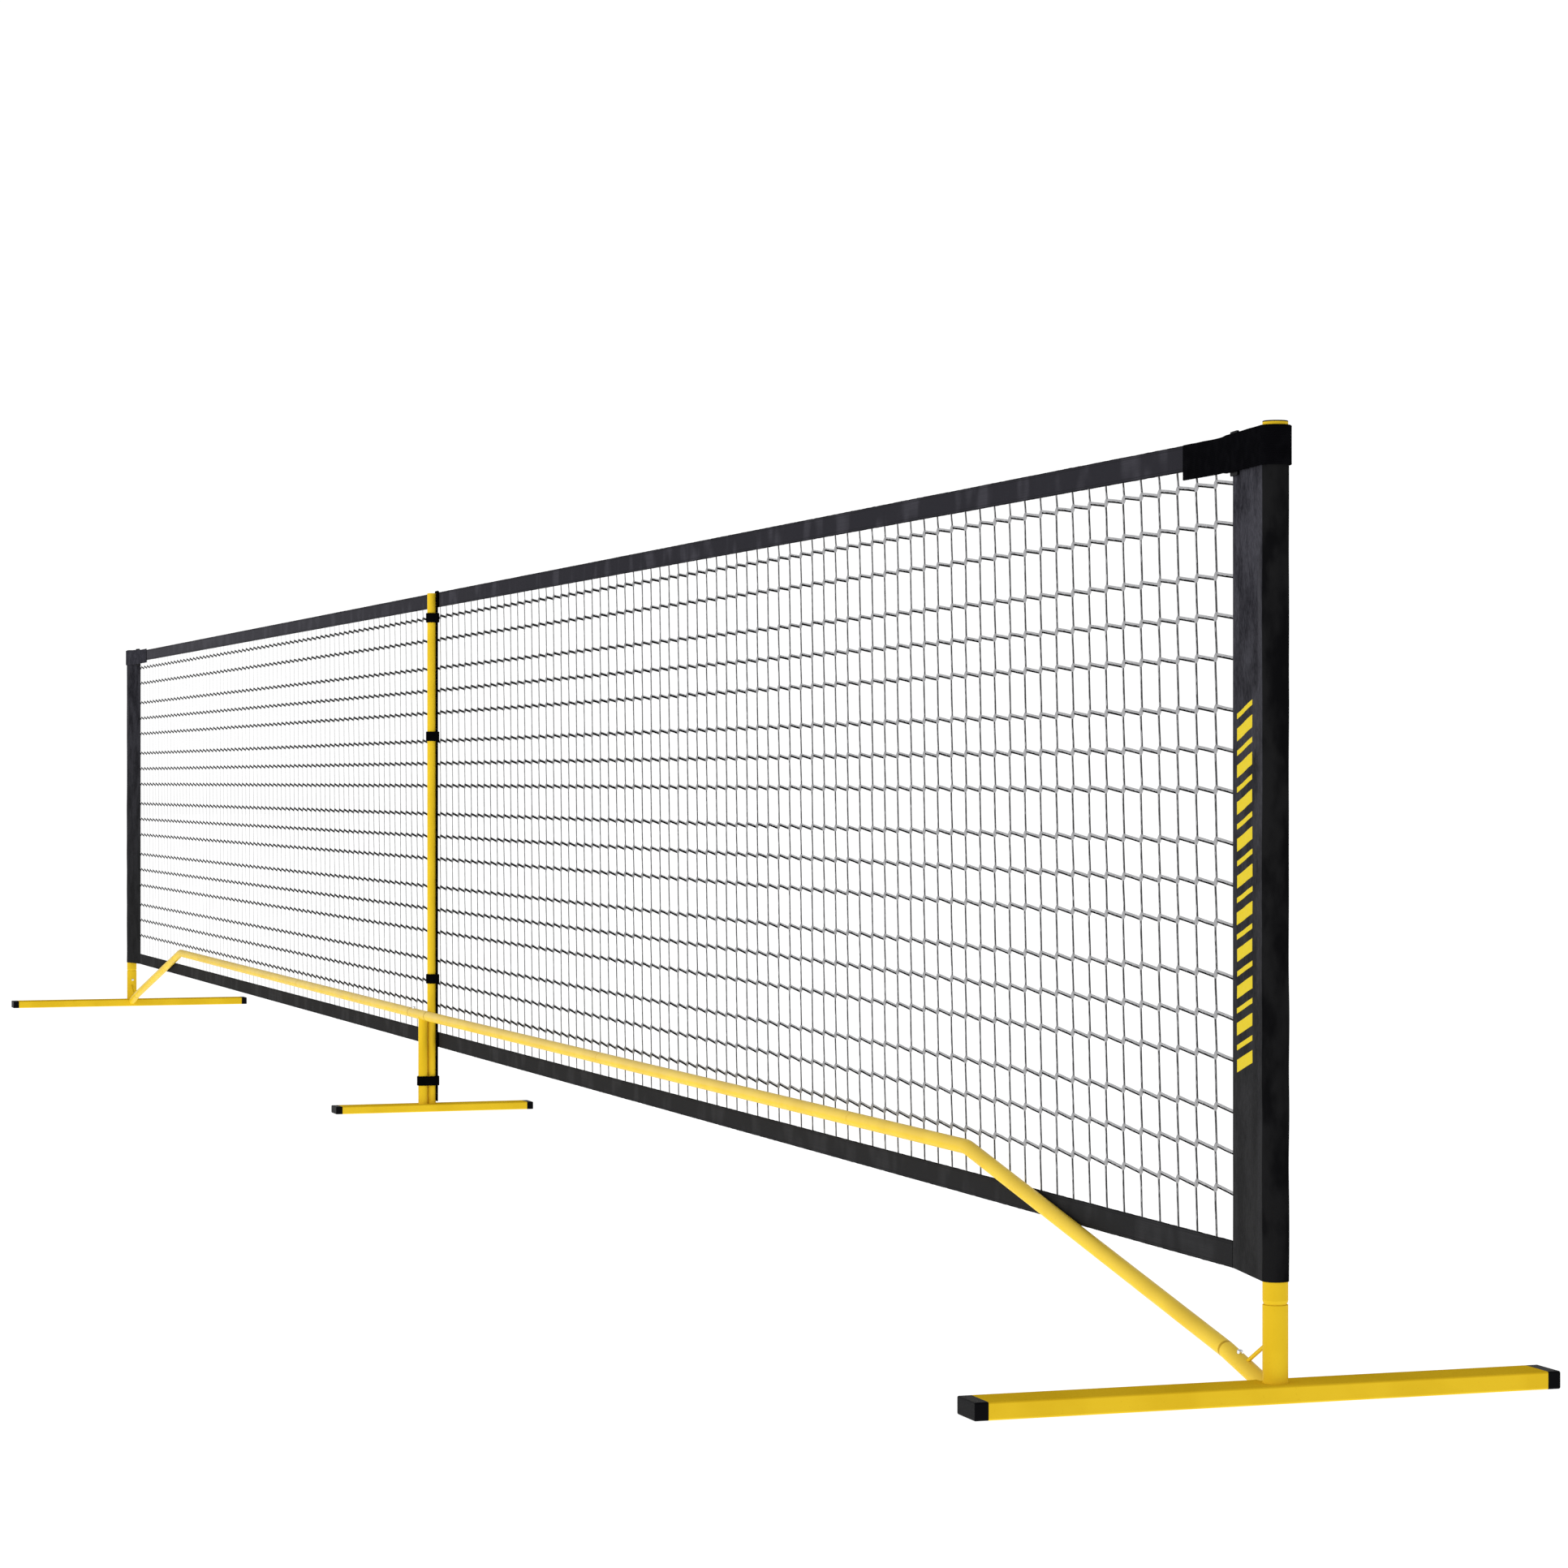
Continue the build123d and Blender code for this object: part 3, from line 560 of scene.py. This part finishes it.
class Skin:
    """Gathers lofted strips into one mesh, with a map in metres along and round each strip."""

    def __init__(self):
        self.points, self.faces, self.marks = [], [], []

    def loft(self, rings, caps=True):
        """Skins rings of points, each ring's last point joined to its first one."""
        first, count = len(self.points), len(rings[0])
        along, lengths = 0.0, []
        for number, ring in enumerate(rings):
            if number:
                along += (Vector(ring[0]) - Vector(rings[number - 1][0])).length
            lengths.append(along)
            self.points.extend(ring)
        round_ring = [0.0]
        for a, b in zip(rings[0], [*rings[0][1:], rings[0][0]]):
            round_ring.append(round_ring[-1] + (Vector(b) - Vector(a)).length)
        for step in range(len(rings) - 1):
            for side in range(count):
                after = (side + 1) % count
                low, high = first + step * count, first + (step + 1) * count
                self.faces.append((low + side, low + after, high + after, high + side))
                start, stop = lengths[step:step + 2]
                left, right = round_ring[side:side + 2]
                self.marks.append(((start, left), (start, right), (stop, right), (stop, left)))
        if caps:
            last = first + (len(rings) - 1) * count
            self.faces.append(tuple(reversed(range(first, first + count))))
            self.faces.append(tuple(range(last, last + count)))
            self.marks.extend([tuple((0.0, r) for r in round_ring[:-1])] * 2)

    def piece(self, name, material, slot, smooth_angle=50.0, mirror=False):
        """The finished object; mirror turns it over to the far end."""
        mesh = bpy.data.meshes.new(name)
        points, faces, marks = self.points, self.faces, self.marks
        if mirror:
            points = [(-p[0], p[1], p[2]) for p in points]
            faces = [tuple(reversed(face)) for face in faces]
            marks = [tuple(reversed(mark)) for mark in marks]
        mesh.from_pydata([tuple(p) for p in points], [], faces)
        layer = mesh.uv_layers.new(name="cloth")
        flat = [value for mark in marks for pair in mark for value in pair]
        layer.data.foreach_set("uv", flat)
        mesh.polygons.foreach_set("use_smooth", [True] * len(mesh.polygons))
        mesh.set_sharp_from_angle(angle=math.radians(smooth_angle))
        mesh.materials.append(material)
        obj = new_object(name, mesh)
        return obj


def new_object(name, data):
    """An object in the scene with its own data."""
    obj = bpy.data.objects.new(name, data)
    bpy.context.scene.collection.objects.link(obj)
    return obj


def lofted(rings, name, material, slot, caps=True, mirror=False):
    """A piece of a single strip."""
    skin = Skin()
    skin.loft(rings, caps=caps)
    return skin.piece(name, material, slot, mirror=mirror)


def add(piece, body, *nodes):
    """Makes a finished piece ride on a body and stand for CAD nodes."""
    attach(piece, body)
    if nodes:
        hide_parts(*nodes)


def waver(x, y, z=0.0):
    """Smooth repeatable noise between -1 and 1."""
    return noise.noise(Vector((x, y, z)))


def ease(share):
    """Soft step from 0 to 1."""
    share = min(1.0, max(0.0, share))
    return share * share * (3 - 2 * share)


def hull_path(discs):
    """Convex outline round (centre x, centre y, radius) discs, anticlockwise."""
    samples, dots = 96, []
    for x, y, radius in discs:
        for number in range(samples):
            angle = 2 * math.pi * number / samples
            dots.append((x + radius * math.cos(angle), y + radius * math.sin(angle)))
    dots = sorted(set((round(x, 7), round(y, 7)) for x, y in dots))

    def chain(ordered):
        line = []
        for dot in ordered:
            while len(line) > 1 and turn(line[-2], line[-1], dot) <= 0:
                line.pop()
            line.append(dot)
        return line[:-1]

    return chain(dots) + chain(list(reversed(dots)))


def turn(a, b, c):
    """Above 0 where the way from a over b to c turns left."""
    return (b[0] - a[0]) * (c[1] - a[1]) - (b[1] - a[1]) * (c[0] - a[0])


def opened(path, gone):
    """A closed path with the run of points that gone(x, y) picks cut out."""
    kept = [not gone(x, y) for x, y in path]
    start = next(n for n in range(len(path)) if kept[n] and not kept[n - 1])
    turned = path[start:] + path[:start]
    return [dot for dot in turned if not gone(*dot)]


def resampled(path, step):
    """The same line with points a step apart."""
    lengths = [0.0]
    for a, b in zip(path, path[1:]):
        lengths.append(lengths[-1] + math.dist(a, b))
    count = max(2, round(lengths[-1] / step))
    out, leg = [], 0
    for number in range(count + 1):
        want = lengths[-1] * number / count
        while leg < len(path) - 2 and lengths[leg + 1] < want:
            leg += 1
        share = (want - lengths[leg]) / max(1e-9, lengths[leg + 1] - lengths[leg])
        (ax, ay), (bx, by) = path[leg], path[leg + 1]
        out.append((ax + (bx - ax) * share, ay + (by - ay) * share))
    return out


def normals(path, closed=False):
    """Unit vectors to the right of the path's way of travel, in plan."""
    out = []
    for number in range(len(path)):
        if closed:
            a, b = path[number - 1], path[(number + 1) % len(path)]
        else:
            a, b = path[max(0, number - 1)], path[min(len(path) - 1, number + 1)]
        dx, dy = b[0] - a[0], b[1] - a[1]
        length = math.hypot(dx, dy) or 1e-9
        out.append((dy / length, -dx / length))
    return out


def webbing_rings(path, low, high, thick, softness=0.35, closed=False):
    """Cross-sections of upright webbing that follows a path in plan.

    Its outer side swells a little in the middle of each rim.
    """
    half, soft, rim = thick / 2, thick * softness, webbing_rim
    swollen = half * 1.12
    section = [
        (half, low + soft), (swollen, low + rim / 2), (half, low + rim),
        (half, high - rim), (swollen, high - rim / 2), (half, high - soft),
        (half - soft, high), (soft - half, high),
        (-half, high - soft), (-half, high - rim), (-half, low + rim), (-half, low + soft),
        (soft - half, low), (half - soft, low),
    ]
    rings = []
    for number, ((x, y), (nx, ny)) in enumerate(zip(path, normals(path, closed))):
        rise = 0.2 * MM * waver(number * 0.12, low * 90)
        rings.append([
            (x + nx * d, y + ny * d, z + rise * (z - low) / (high - low))
            for d, z in section
        ])
    return rings + rings[:1] if closed else rings


# --- netting --------------------------------------------------------------------------

def row_heights():
    """Heights of the rows, from the top one down."""
    heights = [net_high.z - first_row_drop]
    for gap in cycle(row_gaps):
        if heights[-1] - gap <= net_low.z + first_row_drop:
            return heights
        heights.append(heights[-1] - gap)


def column_places():
    """Places of the columns along the net, from the far end to the near one."""
    reach = min(net_high.x, -net_low.x) - knot_half
    first = first_column - column_pitch * math.floor((reach + first_column) / column_pitch)
    count = int((reach - first) / column_pitch) + 1
    return [first + column_pitch * number for number in range(count)]


def far_share(x):
    """0 in the near half of the net, growing to 1 at its far end."""
    return ease((0.8 - x) / 3.6)


def slope_at(x):
    """How far a row falls across one cell; the far half hangs a little slacker."""
    return row_slope * (1 + 0.35 * far_share(x))


def cord_section(x, z, lean, wide, thick):
    """Flat six-sided section of a cord at (x, z); lean is the angle of its width above +X."""
    half, rim = wide / 2, thick * cord_flat
    section = [
        (-rim, half), (-thick / 2, 0.0), (-rim, -half),
        (rim, -half), (thick / 2, 0.0), (rim, half),
    ]
    return [
        (x + across * math.cos(lean), net_y + depth, z + across * math.sin(lean))
        for depth, across in section
    ]


def row_rings(row, start, end):
    """One row's cord between two crossings: it falls toward the near end and sags a little."""
    slope = slope_at(start - cord_stop)
    lean = math.atan2(-slope, end - start) + math.pi / 2
    sag = 0.5 * MM * waver((start - cord_stop) * 31, row * 17)
    rings = []
    for share in (0.0, 0.5, 1.0):
        z = row + slope * (0.5 - share) + sag * 4 * share * (1 - share)
        rings.append(cord_section(start + (end - start) * share, z, lean, *row_cord_size))
    return rings


def column_rings(x, high, low):
    """One column's cord between two rows: it drifts sideways, with a bow and a slight kink."""
    taper = 1 - 0.45 * far_share(x)
    wide, thick = column_cord_size
    sway = 0.8 * MM * waver(x * 29, low * 23)
    kink = 0.5 * MM * waver(x * 41, low * 37, 4.0)
    rings = []
    for share in (0.0, 0.25, 0.5, 0.75, 1.0):
        bow = sway * 4 * share * (1 - share) + kink * math.sin(2 * math.pi * share)
        place = x - column_jog + 2 * column_jog * share + bow
        z = high - cord_stop + (low - high + 2 * cord_stop) * share
        rings.append(cord_section(place, z, 0.0, wide * taper, thick * taper))
    return rings


def knot_rings(x, z):
    """Bead of braid at a crossing: low on its far side, high on its near side."""
    steps, corners = 5, 8
    bead = 1 - 0.6 * far_share(x)
    climb = slope_at(x) / 2 + bead * knot_climb
    rings = []
    for number in range(steps + 1):
        share = number / steps
        lean = 2 * share - 1
        swell = bead * math.sin(math.pi * (0.14 + 0.72 * share))
        wide, thick = swell * knot_swell[0], swell * knot_swell[1]
        ring = []
        for corner in range(corners):
            angle = 2 * math.pi * corner / corners
            ring.append((
                x + lean * knot_half * 0.45 + wide / 2 * math.cos(angle),
                net_y + thick / 2 * math.sin(angle),
                z + lean * climb,
            ))
        rings.append(ring)
    return rings


def netting():
    """Rows and columns of flat cord, joined by a bead of braid at every crossing."""
    rows, columns = row_heights(), column_places()
    skins = {(kind, side): Skin() for kind in ("rows", "columns", "knots") for side in (NEAR, FAR)}
    crossings = [net_low.x - knot_half, *columns, net_high.x + knot_half]
    for row in rows:
        for far, near in zip(crossings, crossings[1:]):
            side = NEAR if far + near > 0 else FAR
            skins["rows", side].loft(row_rings(row, far + cord_stop, near - cord_stop))
    stops = [net_high.z + knot_half, *rows, net_low.z - knot_half]
    for x in columns:
        side = NEAR if x > 0 else FAR
        for high, low in zip(stops, stops[1:]):
            skins["columns", side].loft(column_rings(x, high, low))
        for row in rows:
            skins["knots", side].loft(knot_rings(x, row))
    materials = {
        # the cords' pale tones are a painted sheen, on the rows' upper edge and on one side of the
        # columns
        "rows": cord("cord_rows", row_cord_size, (cord_black, cord_painted_sheen), "high",
                     (0.05, 0.55), 1.4 * MM, 0.04),
        "columns": cord("cord_columns", column_cord_size, (cord_soot, column_painted_sheen), "low",
                        (0.70, 0.62), 4.5 * MM, 0.88),
        "knots": bead_braid(),
    }
    for (kind, side), skin in skins.items():
        name = f"net_{kind}_{END_NAME[side]}"
        add(skin.piece(name, materials[kind], "net_cord", 80.0), "frame", "net_mesh")


# --- bands ----------------------------------------------------------------------------

def band(node, material, ripple):
    """Folded binding along the net: it ripples, puckers, and is thinner at its stitches."""
    low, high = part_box(node)
    count = round((high.x - low.x) / band_step)
    half, fold, hem = band_thick / 2, band_fold, band_hem
    hollow, turned = half * band_hollow, half - fold * 0.5
    rings = []
    for number in range(count + 1):
        x = low.x + (high.x - low.x) * number / count
        pucker = 0.35 * MM * waver(x * 55, low.z * 9)
        swing = ripple / 2 * (waver(x * 9, 3.1) + waver(x * 23, 7.7))
        tooth = 0.12 * MM * (number % 2)
        top = high.z - tooth - 0.1 * MM + 0.3 * MM * waver(x * 90, high.z)
        base = low.z + tooth + 0.1 * MM + 0.3 * MM * waver(x * 90, low.z)
        mid, pull = (top + base) / 2, pucker * 0.3
        section = [
            (-turned, top), (-half, top - fold), (-hollow - pull, top - hem), (-half - pucker, mid),
            (-hollow + pull, base + hem), (-half, base + fold), (-turned, base),
            (turned, base), (half, base + fold), (hollow, base + hem), (half + pucker, mid),
            (hollow, top - hem), (half, top - fold), (turned, top),
        ]
        rings.append([(x, net_y + depth + swing, z) for depth, z in section])
    add(lofted(rings, node + "_cloth", material, "band_fabric"), "frame", node)


# --- sleeves --------------------------------------------------------------------------

def pocket_outline(inset, nudge=0.0):
    """The sleeve in plan: from its free edge round the post and back to the free edge."""
    loop = hull_path((
        (post_x, 0.0, post_radius + sleeve_gap - inset),
        (sleeve_edge + sleeve_gap + nudge, net_y, sleeve_gap - inset),
    ))
    start = min(range(len(loop)), key=lambda n: loop[n][0])
    return loop[start:] + loop[:start + 1]


sleeve_plan = resampled(pocket_outline(0.0), sleeve_step)
sleeve_out = normals(sleeve_plan)


def sleeve_lift(along, z):
    """How far the sleeve's cloth stands off its plain outline."""
    calm = ease((z - sleeve_low.z) / (25 * MM)) * ease((sleeve_calm_top - z) / (30 * MM))
    loose = ease(along / (8 * MM)) * ease((sleeve_calm_end - along) / (8 * MM))
    narrow = 0.22 * MM * waver(along * 190, z * 11)
    broad = 0.40 * MM * waver(along * 45, z * 4.5, 5.0)
    slack = 0.50 * MM * waver(along * 24 + z * 14, z * 9, 9.0)
    return loose * (calm * (narrow + broad + slack) - sleeve_inset)


def sleeve_point(number, z, extra=0.0):
    """Place on the sleeve's outside at a numbered point of its outline."""
    (x, y), (nx, ny) = sleeve_plan[number], sleeve_out[number]
    lift = sleeve_lift(number * sleeve_step, z) + extra
    return (x + nx * lift, y + ny * lift, z)


def sleeve(end):
    """Pocket of cloth round a post, open at the top and bottom."""
    rows = round((sleeve_high.z - sleeve_low.z) / sleeve_row)
    count, lip = len(sleeve_plan), 0.3 * MM
    inside = pocket_outline(sleeve_wall, 0.1 * MM)
    total = sum(math.dist(a, b) for a, b in zip(inside, inside[1:]))
    inside = resampled(inside, total / (count - 1))
    rings = []
    for number in range(count - 1):
        ring = []
        for row in range(rows + 1):
            z = sleeve_low.z + (sleeve_high.z - sleeve_low.z) * row / rows
            ring.append(sleeve_point(number, z))
        x, y = inside[number]
        ring.append((x, y, sleeve_high.z - lip))
        ring.append((x, y, sleeve_low.z + lip))
        rings.append(ring)
    rings.append(rings[0])
    name = END_NAME[end] + "_sleeve"
    material = sleeve_cloth(name + "_polyester", end)
    piece = lofted(rings, name + "_cloth", material, "sleeve_fabric", False, end == FAR)
    weld(piece)
    add(piece, "frame", name)


def weld(piece):
    """Joins the points that a closed loft left doubled."""
    work = bmesh.new()
    work.from_mesh(piece.data)
    bmesh.ops.remove_doubles(work, verts=work.verts, dist=0.001 * MM)
    bmesh.ops.recalc_face_normals(work, faces=work.faces)
    work.to_mesh(piece.data)
    work.free()


def sleeve_print():
    """Plain slanted bars printed on the near sleeve's front, wide and narrow by turns."""
    first, last = (round(edge / sleeve_step) for edge in print_edges)
    skin, z = Skin(), print_low
    while z + max(print_bars) <= print_high:
        for height in print_bars:
            skin.loft(printed_bar(z, height, first, last))
            z += height + print_gap
    add(skin.piece("near_sleeve_print", printed_ink(), "sleeve_fabric"), "frame")


def printed_bar(low, height, first, last):
    """Sections of one slanted bar of ink, which sinks as far into the cloth as it stands out."""
    steps = max(2, round(height / (4 * MM)))
    rings = []
    for number in range(first, last + 1):
        base = low + print_slant * (number - first) / (last - first)
        outer = [sleeve_point(number, base + height * n / steps, ink_lift) for n in range(steps + 1)]
        inner = [sleeve_point(number, base + height * n, -ink_lift) for n in (1, 0)]
        rings.append(outer + inner)
    return rings


# --- straps and ties ------------------------------------------------------------------

def corner_strap(end, material):
    """Webbing from the back of the sleeve, round the post, to a free tail on the band."""
    name = END_NAME[end]
    low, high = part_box(name + "_corner_strap")
    tail_low, tail_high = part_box(name + "_strap_tail")
    hinge = hinges[name + "_tail_peel"]
    hinge_x = abs(hinge.x)
    wrap_radius = max(abs(low.x), abs(high.x)) - post_x - webbing_thick / 2
    loop = hull_path(((post_x, 0.0, wrap_radius), (sleeve_edge, net_y, net_y - hinge.y)))
    loop = opened(loop, lambda x, y: x < sleeve_edge + hinge_half)
    reach = tail_high.x - tail_low.x - webbing_thick / 2
    rest_y = band_low.y - tail_gap - webbing_thick / 2
    tail = []
    for number in range(tail_steps, -1, -1):
        out = reach * number / tail_steps
        tail.append((hinge_x - out, hinge.y + (rest_y - hinge.y) * ease(out / tail_settle)))
    path = resampled(tail + loop, webbing_step)
    rings = webbing_rings(path, low.z, high.z, webbing_thick)
    centre = (low.z + high.z) / 2
    tail_share = (tail_high.z - tail_low.z) / (high.z - low.z)
    for number, (ring, (x, y)) in enumerate(zip(rings, path)):
        in_tail = ease((hinge_x - x) / tail_taper) if y < net_y else 0.0
        squeeze = 1 + (tail_share - 1) * in_tail
        rings[number] = [(px, py, centre + (pz - centre) * squeeze) for px, py, pz in ring]
    piece = lofted(rings, name + "_corner_webbing", material, "webbing", mirror=end == FAR)
    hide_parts(name + "_corner_strap", name + "_strap_tail")
    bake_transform(piece)


def centre_strap(material):
    """Webbing down the middle of the net, its top folded back into a hem on the band."""
    low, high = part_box("centre_strap")
    front, back = low.y + strap_thick / 2, high.y - strap_thick / 2
    bend = (back - front) / 2
    top_turn = high.z - strap_thick / 2 - bend
    rise_steps, bend_steps, hem_end = 60, 8, band_low.z + 1.5 * MM
    side = []
    for number in range(rise_steps + 1):
        z = low.z + (top_turn - low.z) * number / rise_steps
        side.append((front + 0.1 * MM * (1 + waver(z * 30, 2.0)), z))
    for number in range(1, bend_steps + 1):
        angle = math.pi * number / bend_steps
        side.append((front + bend - bend * math.cos(angle), top_turn + bend * math.sin(angle)))
    side.append((back, hem_end))
    side = resampled(side, strap_step)
    middle_x, wide = (low.x + high.x) / 2, (high.x - low.x) / 2
    half, lip, rib, valley = strap_thick / 2, 0.8 * MM, 2.4 * MM, 4 * MM
    thicker, thinner, rounded = half * 1.05, half * 0.95, half * 0.4
    section = [
        (half, lip - wide), (thicker, rib - wide), (thinner, valley - wide),
        (thinner, wide - valley), (thicker, wide - rib), (half, wide - lip),
        (rounded, wide), (-rounded, wide), (-half, wide - lip), (-half, lip - wide),
        (-rounded, -wide), (rounded, -wide),
    ]
    rings = []
    for (y, z), (ny, nz) in zip(side, normals(side)):
        rings.append([(middle_x + across, y + ny * d, z + nz * d) for d, across in section])
    piece = lofted(rings, "centre_strap_webbing", material, "webbing")
    weld(piece)
    add(piece, "frame", "centre_strap")


def tie(number, material):
    """Tie closed round the pole and the strap behind it; the lowest takes in the stub too."""
    node = f"tie_{number}"
    low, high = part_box(node)
    pole_low, pole_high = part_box("centre_pole")
    pole = (pole_low + pole_high) / 2
    pole_radius = (pole_high.x - pole_low.x) / 2
    strap_low, strap_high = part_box("centre_strap")
    grow = tie_gap + tie_thick / 2
    corner = 0.5 * MM
    discs = [(pole.x, pole.y, pole_radius + grow)]
    for x in (strap_low.x + corner, strap_high.x - corner):
        discs.append((x, strap_low.y + strap_thick - corner, corner + grow))
    if low.y < pole.y - 2 * pole_radius:
        stub_low, stub_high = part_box("centre_stub")
        stub = (stub_low + stub_high) / 2
        discs.append((stub.x, stub.y, (stub_high.x - stub_low.x) / 2 + grow))
    loop = hull_path(discs)
    loop = resampled(loop + loop[:1], tie_step)[:-1]
    rings = webbing_rings(loop, low.z, high.z, tie_thick, tie_softness, closed=True)
    piece = lofted(rings, node + "_webbing", material, "webbing", caps=False)
    weld(piece)
    add(piece, "frame", node)


def tie_tab(number, material):
    """Free end of a tie, pressed on its side."""
    node = f"tie_tab_{number}"
    low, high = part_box(node)
    thick = high.x - low.x
    x = (low.x + high.x) / 2
    path = resampled([(x, high.y), (x, low.y)], tie_step)
    rings = webbing_rings(path, low.z, high.z, thick, tie_softness)
    add(lofted(rings, node + "_webbing", material, "webbing"), f"tab_{number}_body", node)


# --- finishes for the CAD pieces ------------------------------------------------------

def bar_seams():
    """Where the crossbar's tubes enter the tee and the inclined sockets, each with its axis."""
    seams = [(corner, Vector((1.0, 0.0, 0.0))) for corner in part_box("tee_sleeve")]
    for end in (NEAR, FAR):
        low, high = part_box(END_NAME[end] + "_bar_socket")
        radius = (high.y - low.y) / 2
        inner = low.x if end == NEAR else high.x
        axis = Vector((-end * math.cos(bar_slope), 0.0, math.sin(bar_slope)))
        mouth = Vector((inner + end * radius * axis.z, 0.0, high.z - radius * math.cos(bar_slope)))
        seams.append((mouth, axis))
    return seams


def dress_frame():
    """Gives every CAD piece its finish; paint, unless the last word of its name says more."""
    finishes = {
        "caps": moulded_plastic("cap_moulding", 0.0026),
        "plug": moulded_plastic("plug_moulding", 0.004),
        "ring": moulded_plastic("ring_moulding", 0.003),
        "button": plated_steel(),
        "spring": spring_steel(),
    }
    # the upper colours are painted light: shade on the feet and posts, a pale sheen on the bars; the
    # bars' seams get painted shadows
    paint = powder_coat("yellow_powder_coat", painted_top_shade, (0.28, 0.36), 0.0)
    tube_paint = powder_coat("yellow_bar_coat", painted_top_sheen, (0.16, 0.05), 0.04, bar_seams())
    for name, obj in frame["nodes"].items():
        is_bar = "_bar_" in name or name == "tee_sleeve"
        material = finishes.get(name.split("_")[-1], tube_paint if is_bar else paint)
        obj.data.materials.clear()
        obj.data.materials.append(material)


def button_springs():
    """Spring leaves inside the tubes: a copy of each button's spring, riding on the frame."""
    for joint in frame["joints"]:
        if not joint["name"].endswith("_button_press"):
            continue
        node = joint["name"].removesuffix("_press") + "_spring"
        leaf = new_object(node + "_leaf", frame["nodes"][node].data.copy())
        add(leaf, "frame", node)
        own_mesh(leaf)


# --- stage ----------------------------------------------------------------------------

def look_from(place, direction, lens, shift):
    """The camera at a place beside the net, level."""
    data = bpy.data.cameras.new("camera")
    data.sensor_width = 36.0
    data.lens = lens
    data.shift_y = shift
    data.clip_end = 100.0
    camera = new_object("camera", data)
    camera.location = place
    camera.rotation_euler = Vector(direction).to_track_quat("-Z", "Y").to_euler()
    bpy.context.scene.camera = camera


def softbox(name, place, aim, size, power):
    """Large rectangular lamp at a place, turned to its aim."""
    data = bpy.data.lights.new(name, "AREA")
    data.shape = "RECTANGLE"
    data.size, data.size_y = size
    data.energy = power
    lamp = new_object(name, data)
    lamp.location = place
    lamp.rotation_euler = (Vector(aim) - Vector(place)).to_track_quat("-Z", "Y").to_euler()


def surround():
    """White surround for the camera; light that fades from above to below for the object."""
    seen_strength, light_below, light_above = 1.05, 1.95, 0.52
    world = bpy.data.worlds.new("surround")
    bpy.context.scene.world = world
    world.use_nodes = True
    tree = world.node_tree
    tree.nodes.clear()
    kinds = (
        "OutputWorld", "Background", "Background", "TexCoord", "SeparateXYZ", "MapRange",
        "LightPath", "MixShader",
    )
    nodes = [tree.nodes.new("ShaderNode" + kind) for kind in kinds]
    out, seen, lighting, coordinate, parts, height, path, choose = nodes
    seen.inputs["Color"].default_value = rgb(1.0, 1.0, 1.0)
    seen.inputs["Strength"].default_value = seen_strength
    height.inputs["From Min"].default_value = -1.0
    height.inputs["From Max"].default_value = 1.0
    height.inputs["To Min"].default_value = light_below
    height.inputs["To Max"].default_value = light_above
    wires = (
        (coordinate.outputs["Generated"], parts.inputs[0]),
        (parts.outputs["Z"], height.inputs["Value"]),
        (height.outputs[0], lighting.inputs["Strength"]),
        (path.outputs["Is Camera Ray"], choose.inputs[0]),
        (lighting.outputs[0], choose.inputs[1]),
        (seen.outputs[0], choose.inputs[2]),
        (choose.outputs[0], out.inputs["Surface"]),
    )
    for output, socket in wires:
        tree.links.new(output, socket)


def floor():
    """Plain pale floor that keeps only a trace of shadow."""
    size, drop = 60.0, 0.2 * MM
    mesh = bpy.data.meshes.new("floor")
    corners = [(-size, -size), (size, -size), (size, size), (-size, size)]
    mesh.from_pydata([(x, y, -drop) for x, y in corners], [], [(0, 1, 2, 3)])
    obj = new_object("floor", mesh)
    shade = Shade("pale_floor")
    mottle = shade.grain(shade.place(), 3.0, 2.0)
    tone = shade.mix(mottle, rgb(0.16, 0.16, 0.16), rgb(0.18, 0.18, 0.18))
    white = rgb(1.0, 1.0, 1.0)
    material = shade.finish(
        tone, 0.9, Emission_Color=white, Emission_Strength=1.0, Specular_IOR_Level=0.0
    )
    mesh.materials.append(material)
    obj.visible_diffuse = False
    obj.visible_glossy = False


# --- the object -----------------------------------------------------------------------

dress_frame()
button_springs()
netting()
band("top_band", binding("top_binding", top_band_tones, band_low.z, band_high.z, 0.45), 1.2 * MM)
low_band = [corner.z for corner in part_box("bottom_band")]
band("bottom_band", binding("bottom_binding", bottom_band_tones, *low_band, 0.0), 0.6 * MM)
tie_material = webbing_cloth("tie_webbing", tie_brightness, 1.1 * MM)
for side in (NEAR, FAR):
    sleeve(side)
    strap_name = END_NAME[side] + "_corner_webbing"
    corner_strap(side, webbing_cloth(strap_name, strap_brightness[side], 1.3 * MM))
sleeve_print()
centre_strap(tie_material)
for tie_number in range(1, 5):
    tie(tie_number, tie_material)
    tie_tab(tie_number, tie_material)

# --- camera and light -----------------------------------------------------------------

view_turn = math.radians(18.515)      # between the line of sight and the net
camera_place = (post_x + 3.28461, -1.58179, 0.57651)
camera_lens, camera_shift = 89.30, -0.00207
look_from(camera_place, (-math.cos(view_turn), math.sin(view_turn), 0.0), camera_lens, camera_shift)
surround()
floor()
lamp_place, lamp_aim, lamp_size, lamp_power = (2.5, -7.0, 1.5), (1.5, 0.0, 0.4), (8.0, 3.0), 156.0
softbox("key", lamp_place, lamp_aim, lamp_size, lamp_power)
bpy.context.scene.view_settings.view_transform = "Standard"
